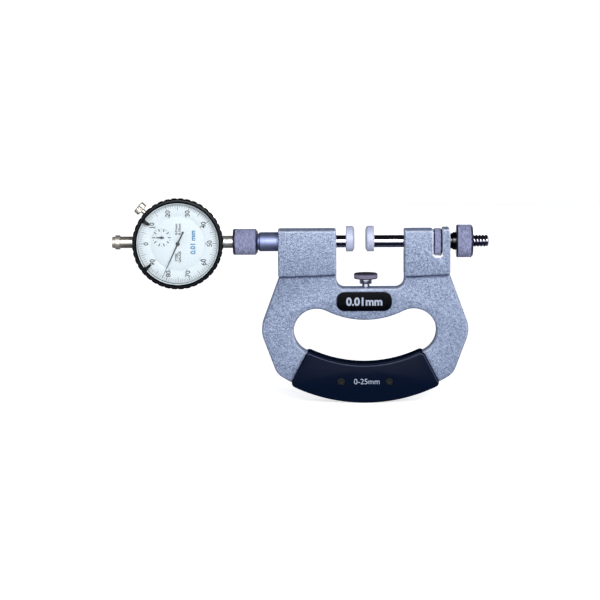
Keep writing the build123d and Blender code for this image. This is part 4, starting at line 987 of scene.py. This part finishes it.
class GAUGE_OT_work_stop(bpy.types.Operator):
    """Models the work stop's screw and its knurled knob"""

    bl_idname = "gauge.work_stop"
    bl_label = "Work stop"

    def execute(self, context):
        centre = (STOP_X, 0, 0)
        stud = [(-42.0, 0), (-42.0, 2.5), (-27.2, 2.5), (-27.2, 3.4)]
        collar = arc((-26.4, 3.4), 0.8, 180, 90, 5) + [(-24.0, 4.2), (-24.0, 0)]
        screw = lathe("stop_stud", stud + collar, "Z", centre, 64)
        hand_over(screw, "work_stop", "black_steel", "stop_chrome", "stop_screw")
        under, over = [(-23.99, 0), (-23.99, 7.15), (-23.6, 7.5)], [(-20.9, 7.5), (-20.49, 7.1), (-20.49, 0)]
        knob = knurled("knob", under, -23.3, -21.2, 7.65, over, "Z", centre, ring=False)
        knurled_finish(knob, "stop_knob", "stop_knob", "knob", "knob_top")
        return {"FINISHED"}


def dial_turned(name, profile, steps=160, ring=True, edge=0.0):
    """Piece turned on the dial's own axis."""
    return lathe(name, profile, "Y", DIAL_CENTRE, steps, ring, edge)


class GAUGE_OT_indicator_body(bpy.types.Operator):
    """Models the indicator's case, back cover with lug, stem, upper tube and dust cap"""

    bl_idname = "gauge.indicator_body"
    bl_label = "Indicator body"

    def execute(self, context):
        wall = [(-9.5, 25.2), (-9.5, 25.8), (-8.0, 25.8), (-8.0, 26.5), (-7.7, 26.8), (7.4, 26.8)]
        case = dial_turned("case_shell", wall + [(8.0, 26.2), (8.0, 25.2)])
        hand_over(case, "indicator", "case_paint", "case", "indicator_case")
        for name, side, start, bore in (("stem_boss", 1, 25.8, 4.01), ("tube_boss", -1, 25.9, 3.76)):
            steps = ((0, bore), (0, 6.0), (1.1, 6.0), (1.6, 5.5), (1.6, bore))
            boss = lathe(name, [(DIAL_X + side * (start + a), r) for a, r in steps], ring=True)
            hand_over(boss, "indicator", "case_paint", "case")
        stem_start = DIAL_X + 25.3
        profile = [(stem_start, 2.43), (stem_start, 4.0), (-63.3, 4.0), (-63.0, 3.7), (-63.0, 2.43)]
        stem = lathe("stem", profile, ring=True)
        hand_over(stem, "indicator", "warm_nickel", "stem", "indicator_stem")
        steps = ((36.8, 2.7), (36.8, 3.75), (25.4, 3.75), (25.4, 2.7))
        tube = lathe("tube", [(DIAL_X - a, r) for a, r in steps], ring=True)
        hand_over(tube, "indicator", "warm_nickel", "nickel", "upper_tube")
        steps = ((42.28, 0), (42.28, 3.2), (41.9, 3.65), (40.3, 3.65), (40.3, 4.2), (39.9, 4.6))
        steps += ((37.2, 4.6), (36.8, 4.2), (36.8, 2.7), (40.2, 2.7), (40.2, 0))
        cap = lathe("cap", [(DIAL_X - a, r) for a, r in steps])
        hand_over(cap, "indicator", "warm_nickel", "cap", "dust_cap")
        lid = [(8.0, 0), (8.0, 25.6), (8.9, 25.6), (9.4, 25.1), (9.4, 0)]
        cover = dial_turned("cover", lid, 128, ring=False)
        half_width, half_thick, root, rear, corner = 5.4, 2.5, 9.2, 20.38, 5.38
        hole_y, hole_r = 15.0, 3.25
        ear = [(-half_width, root, 0), (half_width, root, 0)]
        ear += [(half_width, rear, corner), (-half_width, rear, corner)]
        lug = plate("lug", [rounded(ear, 16)], -half_thick, half_thick, 0.4, 3, (DIAL_X, 0), "Z")
        boolean(cover, lug, "UNION")
        cut_bore(cover, -half_thick - 0.5, half_thick + 0.5, hole_r, "Z", (DIAL_X, hole_y, 0), 48)
        smooth(cover, 35)
        hand_over(cover, "indicator", "case_paint", "case", "back_cover")
        return {"FINISHED"}


class GAUGE_OT_bezel(bpy.types.Operator):
    """Models the scalloped bezel, the crystal, the two limit markers and the bezel's clamp screw"""

    bl_idname = "gauge.bezel"
    bl_label = "Bezel"

    def execute(self, context):
        rim, groove_r, groove_depth, count = 28.9, 1.2, 0.5, 40
        lip = [(-13.8, 26.2), (-14.3, 26.9), (-14.5, 27.1), (-14.5, 27.6)]
        lip += arc((-13.2, 27.6), 1.3, 180, 90, 6)[1:]
        wall = [(a, rim) for a in (-12.4, -11.4, -10.4, -9.4, -8.9)] + [(-8.5, 28.7), (-8.2, 28.2)]
        seat = [(-8.2, 25.83), (-10.2, 25.83), (-10.2, 25.3), (-11.65, 25.3), (-11.65, 25.9), (-12.75, 25.9)]
        seat += [(-12.75, 25.3), (-13.05, 25.3), (-13.05, 26.15), (-13.75, 26.15)]
        bezel = dial_turned("bezel_ring", lip + wall + seat, 480)
        groove_centre = rim - groove_depth + groove_r

        def scallop(a, radius, angle):
            if radius < 27.2 or a > -8.3:
                return radius
            off = (angle / (2 * pi) * count + 0.5) % 1.0 - 0.5
            side = groove_centre * sin(off * 2 * pi / count)
            if abs(side) >= groove_r:
                return radius
            floor = groove_centre * cos(off * 2 * pi / count) - sqrt(groove_r**2 - side**2)
            return min(radius, floor)

        move_radially(bezel, "Y", DIAL_CENTRE, scallop)
        smooth(bezel, 30)
        hand_over(bezel, "bezel", "bezel_black", "bezel", "bezel")
        bevelled = [(-13.04, 25.35), (-13.3, 25.5), (-13.6, 26.0), (-13.04, 26.0)]
        rim_ring = dial_turned("crystal_ring", bevelled)
        hand_over(rim_ring, "bezel", "clear_crystal", "crystal_rim")
        pane = [(-12.7, 0), (-12.7, 25.6), (-12.5, 25.8), (-11.7, 25.8), (-11.7, 0)]
        glass = dial_turned("watch_crystal", pane, ring=False)
        hand_over(glass, "bezel", "clear_crystal", "crystal", "crystal")
        front, back, shift, foot_half = -13.7, -13.1, (DIAL_X, 0), 3.4
        widths = ((25.4, -1.1), (22.6, -0.85), (21.3, -0.25), (21.3, 0.25), (22.6, 0.85), (25.4, 1.1))
        for name, turn in (("low", 217.5), ("high", 145.5)):
            first, last = turn - foot_half, turn + foot_half
            foot = arc((0, 0), 26.1, first, last, 8) + arc((0, 0), 25.3, last, first, 8)
            along = Vector((cos(radians(turn)), sin(radians(turn))))
            across = Vector((-along.y, along.x))
            arrow = [along * r + across * w for r, w in widths]
            marker = plate("marker_" + name, [foot], front, back, 0.05, 1, shift)
            point = plate("arrow", [[tuple(p) for p in arrow]], front, back, 0.05, 1, shift)
            boolean(marker, point, "UNION")
            smooth(marker, 40)
            hand_over(marker, "marker_" + name, "marker_black", "marker", "limit_marker_" + name)
        clamp_angle, clamp_y = radians(137.4), -4.2
        along = Vector((cos(clamp_angle), 0, sin(clamp_angle)))
        root = [(25.0, 0), (25.0, 1.5), (30.6, 1.5), (30.6, 3.6)]
        tip = [(34.5, 3.5), (34.5, 1.3), (34.1, 1.2), (34.1, 0)]
        screw = knurled("clamp_screw", root, 31.0, 34.0, 4.0, tip, "Z", (0, 0, 0), ring=False, straight=True)
        slanted = along.to_track_quat("Z", "Y").to_matrix().to_4x4()
        screw.data.transform(Matrix.Translation((DIAL_X * MM, clamp_y * MM, 0)) @ slanted)
        hand_over(screw, "bezel_clamp", "warm_nickel", "nickel", "bezel_clamp_screw", second="nickel")
        return {"FINISHED"}


def dial_angle(value):
    """Angle of a scale value of 0 to 100, seen with the dial's own top to the left."""
    return 180 - 3.6 * value


def on_dial(value, radius):
    turn = radians(dial_angle(value))
    return DIAL_X + radius * cos(turn), radius * sin(turn)


class GAUGE_OT_dial(bpy.types.Operator):
    """Models the dial face with its scale, figures and small counter dial"""

    bl_idname = "gauge.dial"
    bl_label = "Dial face"

    def execute(self, context):
        settings = context.scene.gauge_dial
        ring_y, centre_y, rear_y, edge = -10.19, -10.2, -9.6, 0.04
        outer_face = [(ring_y, 17.17), (ring_y, 25.8), (rear_y, 25.8), (rear_y, 17.17)]
        ring = dial_turned("dial_ring", outer_face, edge=edge)
        hand_over(ring, "bezel", "dial_white", "face", "scale_ring")
        inner_face = [(centre_y, 0.9), (centre_y, 17.15), (rear_y, 17.15), (rear_y, 0.9)]
        middle = dial_turned("dial_middle", inner_face, 128, edge=edge)
        cut_bore(middle, -10.4, -9.4, 0.85, "Y", (COUNTER[0], 0, COUNTER[1]), 32)
        smooth(middle, 30)
        hand_over(middle, "indicator", "dial_white", "face", "dial_centre")
        ticks = []
        for value in range(100):
            tick = (22.6, 24.3, 0.17)
            if value % 10 == 0:
                tick = (21.9, 24.6, 0.34)
            elif value % 5 == 0:
                tick = (21.4, 24.3, 0.26)
            ticks.append((dial_angle(value), *tick))
        scale = strokes("dial_scale", (DIAL_X, 0), ring_y, ticks)
        hand_over(scale, "bezel", "dial_white", "ink")
        tall, figures_r, small_tall, small_r = settings.figure_height, 20.2, 1.15, 17.95
        figures = [(str(value), tall, *on_dial(value, figures_r), 90) for value in range(0, 100, 10)]
        printed = lettering("dial_figures", figures, ring_y, weight=0.09)
        hand_over(printed, "bezel", "dial_white", "ink")
        back = [(str(100 - value), small_tall, *on_dial(value, small_r), 90) for value in range(10, 100, 10)]
        printed = lettering("dial_back_figures", back, ring_y, weight=0.03)
        hand_over(printed, "bezel", "dial_white", "pale_ink")
        small = [(dial_angle(value), 4.0, 5.8, 0.62) for value in range(0, 100, 10)]
        small += [(dial_angle(value), 5.2, 5.8, 0.3) for value in range(5, 100, 10)]
        printed = strokes("counter_scale", COUNTER, centre_y, small)
        hand_over(printed, "indicator", "dial_white", "ink")
        lines, note_tall, note_x, line_step = [], 1.5, DIAL_X - 0.9, 2.1
        for z, notes in ((9.2, ("0.01mm", "0-10mm")), (-8.4, ("STEEL", "GAUGE"))):
            for row, words in enumerate(notes):
                lines.append((words, note_tall, note_x + line_step * row, z, 90))
        printed = lettering("dial_notes", lines, centre_y, weight=0.08)
        hand_over(printed, "indicator", "dial_white", "ink")
        value = lettering("dial_division", [("0.01 mm", 3.0, DIAL_X + 9.6, 0.8, 90)], centre_y, weight=0.16)
        hand_over(value, "indicator", "dial_white", "blue_ink")
        return {"FINISHED"}


def pointer(name, centre, angle, y, widths, hub, thick=0.2):
    """Flat hand; widths are (radius, half width) from tail to tip, hub is its boss radius."""
    along = Vector((cos(radians(angle)), sin(radians(angle))))
    across = Vector((-along.y, along.x))
    outline = [along * r + across * w for r, w in widths]
    outline += [along * r - across * w for r, w in reversed(widths)]
    piece = plate(name, [[tuple(p) for p in outline]], y - thick, y, 0.03, 1, centre)
    top = y - thick - 0.25
    profile = [(top, 0), (top, hub - 0.25), (y - thick, hub), (y, hub), (y, 0)]
    boss = lathe("boss", profile, "Y", (centre[0], 0, centre[1]), 48)
    boolean(piece, boss, "UNION")
    return smooth(piece, 30)


class GAUGE_OT_hands(bpy.types.Operator):
    """Models the main hand and the small counter hand"""

    bl_idname = "gauge.hands"
    bl_label = "Hands"

    def execute(self, context):
        tail = arc((-7.8, 0), 0.8, 170, 50, 4)
        widths = tail + [(-6.6, 0.42), (-1.0, 0.55), (1.0, 0.5), (14.0, 0.28), (23.8, 0.1)]
        main_angle, main_y, small_angle, small_y = 245.3, -11.1, 180, -10.6
        main = pointer("long_hand", (DIAL_X, 0), main_angle, main_y, widths, 1.3)
        hand_over(main, "centre_arbor", "hand_dark", "hand", "main_hand")
        widths = [(-1.6, 0.45), (0, 0.5), (3.9, 0.14)]
        small = pointer("short_hand", COUNTER, small_angle, small_y, widths, 0.8)
        hand_over(small, "counter_arbor", "hand_dark", "marker", "counter_hand")
        return {"FINISHED"}


KEPT_FINISHES = {
    "anvil_collar": "steel",
    "anvil_guide_bush": "steel",
    "spindle_guide_bush": "steel",
    "anvil_key_screw": "dark_screw",
    "spindle_key_screw": "dark_screw",
    "anvil_spring": "spring",
    "plunger_spring": "spring",
    "hairspring": "spring",
    "stem_collet": "brass",
    "centre_pinion": "steel",
    "counter_arbor": "steel",
    "rack_pinion": "steel",
    "counter_gear": "brass",
    "rack_gear": "brass",
    "movement_bridge": "brass",
    "movement_plate": "brass",
    "rear_plate": "brass",
    "plunger": "steel",
    "contact_point": "steel",
    "plunger_collar": "brass",
    "plunger_pin": "steel",
    "cover_screws": "screw",
    "grip_nuts": "screw",
}


class GAUGE_OT_kept_finishes(bpy.types.Operator):
    """Gives the frame's parts that stay, such as springs, gears and rear screws, their finishes"""

    bl_idname = "gauge.kept_finishes"
    bl_label = "Finishes of the kept parts"

    def execute(self, context):
        for name, finish in KEPT_FINISHES.items():
            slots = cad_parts[name].data.materials
            slots.clear()
            slots.append(FINISHES[finish])
        return {"FINISHED"}


def stage_material(name, shade, glow):
    """White to the camera, dark near the object in reflections, and diffuse so that it keeps the shadow."""
    made = bpy.data.materials.new(name)
    made.use_nodes = True
    tree = made.node_tree
    tree.nodes.remove(tree.nodes["Principled BSDF"])
    output = tree.nodes["Material Output"]
    path = node(tree, "ShaderNodeLightPath", (-600, 300)).outputs
    seen = maths(tree, "MAXIMUM", path["Is Camera Ray"], path["Is Glossy Ray"], (-400, 300))
    either = maths(tree, "MAXIMUM", seen, path["Is Transmission Ray"], (-200, 300))
    place = node(tree, "ShaderNodeTexCoord", (-1000, -200))
    parts = node(tree, "ShaderNodeSeparateXYZ", (-800, -200))
    tree.links.new(place.outputs["Object"], parts.inputs[0])
    behind = graded(tree, parts.outputs["Y"], 0.05, 0.2, (-600, -200))
    ahead = graded(tree, parts.outputs["Y"], -0.34, -0.46, (-600, -500))
    away = maths(tree, "MAXIMUM", behind, ahead, (-450, -300))
    close = maths(tree, "SUBTRACT", 1.0, away, (-500, -400))
    near = maths(tree, "MULTIPLY", close, path["Is Glossy Ray"], (-600, 0))
    diffuse = node(tree, "ShaderNodeBsdfDiffuse", (-200, 0))
    paper = mix_colour(tree, near, shade, (0.018, 0.019, 0.034), "MIX", (-400, 0))
    tree.links.new(paper, diffuse.inputs["Color"])
    dimmed = node(tree, "ShaderNodeMix", (-300, -200), data_type="FLOAT")
    for key, value in (("Factor", path["Is Camera Ray"]), ("A", away), ("B", 1.0)):
        feed(tree, value, dimmed.inputs[key])
    scale = maths(tree, "MULTIPLY", either, dimmed.outputs["Result"], (0, 200))
    light = node(tree, "ShaderNodeEmission", (-200, -200))
    tree.links.new(maths(tree, "MULTIPLY", scale, glow, (100, 200)), light.inputs["Strength"])
    total = node(tree, "ShaderNodeAddShader", (200, 0))
    tree.links.new(diffuse.outputs[0], total.inputs[0])
    tree.links.new(light.outputs[0], total.inputs[1])
    tree.links.new(total.outputs[0], output.inputs["Surface"])
    return made


def studio_world(scene):
    """White behind the object, and dim surroundings that give the metal its dark bands."""
    world = bpy.data.worlds.new("studio")
    scene.world = world
    world.use_nodes = True
    tree = world.node_tree
    back = tree.nodes["Background"]
    path = node(tree, "ShaderNodeLightPath", (-800, 300)).outputs
    sight = node(tree, "ShaderNodeTexCoord", (-1000, 0))
    parts = node(tree, "ShaderNodeSeparateXYZ", (-800, 0))
    tree.links.new(sight.outputs["Generated"], parts.inputs[0])
    behind = ramp(tree, parts.outputs["Y"], [(0.0, (0, 0, 0)), (0.3, (1, 1, 1))], (-600, 0))
    low = ramp(tree, parts.outputs["Z"], [(0.3, (1, 1, 1)), (0.5, (0, 0, 0))], (-600, -300))
    rear_glow = mix_colour(tree, 1.0, behind, low, "MULTIPLY", (-450, -200))
    mirrored = mix_colour(tree, rear_glow, (0.006, 0.006, 0.009), (1, 1, 1), "MIX", (-300, -200))
    lit = mix_colour(tree, path["Is Glossy Ray"], (0.28, 0.29, 0.32), mirrored, "MIX", (-450, -100))
    seen = maths(tree, "MAXIMUM", path["Is Camera Ray"], path["Is Transmission Ray"], (-500, 300))
    plain = mix_colour(tree, seen, lit, (1, 1, 1), "MIX", (-300, 100))
    tree.links.new(plain, back.inputs["Color"])
    back.inputs["Strength"].default_value = 1.0


def softbox(name, place, aim, width, height, watts):
    lamp = bpy.data.lights.new(name, "AREA")
    lamp.shape = "RECTANGLE"
    lamp.size = width
    lamp.size_y = height
    lamp.energy = watts
    holder = bpy.data.objects.new(name, lamp)
    bpy.context.scene.collection.objects.link(holder)
    direction = Vector(aim) - Vector(place)
    holder.matrix_world = Matrix.Translation(place) @ direction.to_track_quat("-Z", "Y").to_matrix().to_4x4()
    return holder


class GAUGE_OT_stage(bpy.types.Operator):
    """Sets the floor, the surroundings, the soft lamps and the camera"""

    bl_idname = "gauge.stage"
    bl_label = "Stage"

    def execute(self, context):
        scene = context.scene
        low = cad_box[0][2]
        clear_selection()
        place = (0, 0, low - 0.0001)
        bpy.ops.mesh.primitive_circle_add(vertices=96, radius=1.4, fill_type="NGON", location=place)
        floor = context.object
        floor.name = "floor"
        floor.data.materials.append(stage_material("floor_paper", (0.8, 0.8, 0.8), 0.72))
        studio_world(scene)
        aim, axis_aim = (-0.03, 0, -0.03), (-0.03, 0, 0.0)
        softbox("key", (0.15, -1.25, 0.52), aim, width=1.0, height=0.5, watts=15.5)
        softbox("fill", (1.0, -0.9, 0.1), (0, 0, -0.03), width=0.7, height=0.9, watts=3.0)
        card = softbox("reflection_card", (-0.03, -1.3, 0.36), axis_aim, width=1.5, height=0.95, watts=14.0)
        card.visible_diffuse = False
        rear = softbox("rear_fill", (0.35, 1.3, 0.02), aim, width=1.0, height=0.3, watts=4.0)
        rear.visible_glossy = False
        view_data = bpy.data.cameras.new("camera")
        view_data.lens = 180
        view_data.sensor_width = 36
        camera = bpy.data.objects.new("camera", view_data)
        scene.collection.objects.link(camera)
        rise, roll, distance = radians(7), radians(-0.26), 1.92
        target = Vector((-0.0349, 0, -0.0376))
        away = Vector((0, -cos(rise), sin(rise)))
        turn = away.to_track_quat("Z", "Y").to_matrix().to_4x4() @ Matrix.Rotation(roll, 4, "Z")
        camera.matrix_world = Matrix.Translation(target + away * distance) @ turn
        scene.camera = camera
        scene.view_settings.view_transform = "Standard"
        return {"FINISHED"}


SETTINGS = {
    "gauge_casting": CastingSettings,
    "gauge_grip": GripSettings,
    "gauge_metal": MetalSettings,
    "gauge_dial": DialSettings,
}

OPERATORS = (
    GAUGE_OT_casting,
    GAUGE_OT_grip,
    GAUGE_OT_badge,
    GAUGE_OT_anvil_side,
    GAUGE_OT_adjustable_side,
    GAUGE_OT_work_stop,
    GAUGE_OT_indicator_body,
    GAUGE_OT_bezel,
    GAUGE_OT_dial,
    GAUGE_OT_hands,
    GAUGE_OT_kept_finishes,
    GAUGE_OT_stage,
)


class GAUGE_PT_panel(bpy.types.Panel):
    """Lists the gauge's sizes, colours and pieces"""

    bl_label = "Dial snap gauge"
    bl_idname = "GAUGE_PT_panel"
    bl_space_type = "VIEW_3D"
    bl_region_type = "UI"
    bl_category = "Gauge"

    def draw(self, context):
        for name, group in SETTINGS.items():
            box = self.layout.box()
            for field in group.__annotations__:
                box.prop(getattr(context.scene, name), field)
        for operator in OPERATORS:
            self.layout.operator(operator.bl_idname)


def register():
    for group in SETTINGS.values():
        bpy.utils.register_class(group)
    for name, group in SETTINGS.items():
        setattr(bpy.types.Scene, name, bpy.props.PointerProperty(type=group))
    for operator in OPERATORS:
        bpy.utils.register_class(operator)
    bpy.utils.register_class(GAUGE_PT_panel)


def unregister():
    bpy.utils.unregister_class(GAUGE_PT_panel)
    for operator in reversed(OPERATORS):
        bpy.utils.unregister_class(operator)
    for name, group in SETTINGS.items():
        delattr(bpy.types.Scene, name)
        bpy.utils.unregister_class(group)


def main():
    register()
    make_finishes()
    bpy.ops.gauge.casting()
    bpy.ops.gauge.grip()
    bpy.ops.gauge.badge()
    bpy.ops.gauge.anvil_side()
    bpy.ops.gauge.adjustable_side()
    bpy.ops.gauge.work_stop()
    bpy.ops.gauge.indicator_body()
    bpy.ops.gauge.bezel()
    bpy.ops.gauge.dial()
    bpy.ops.gauge.hands()
    bpy.ops.gauge.kept_finishes()
    bpy.ops.gauge.stage()
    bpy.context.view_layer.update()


if __name__ == "__main__":
    main()
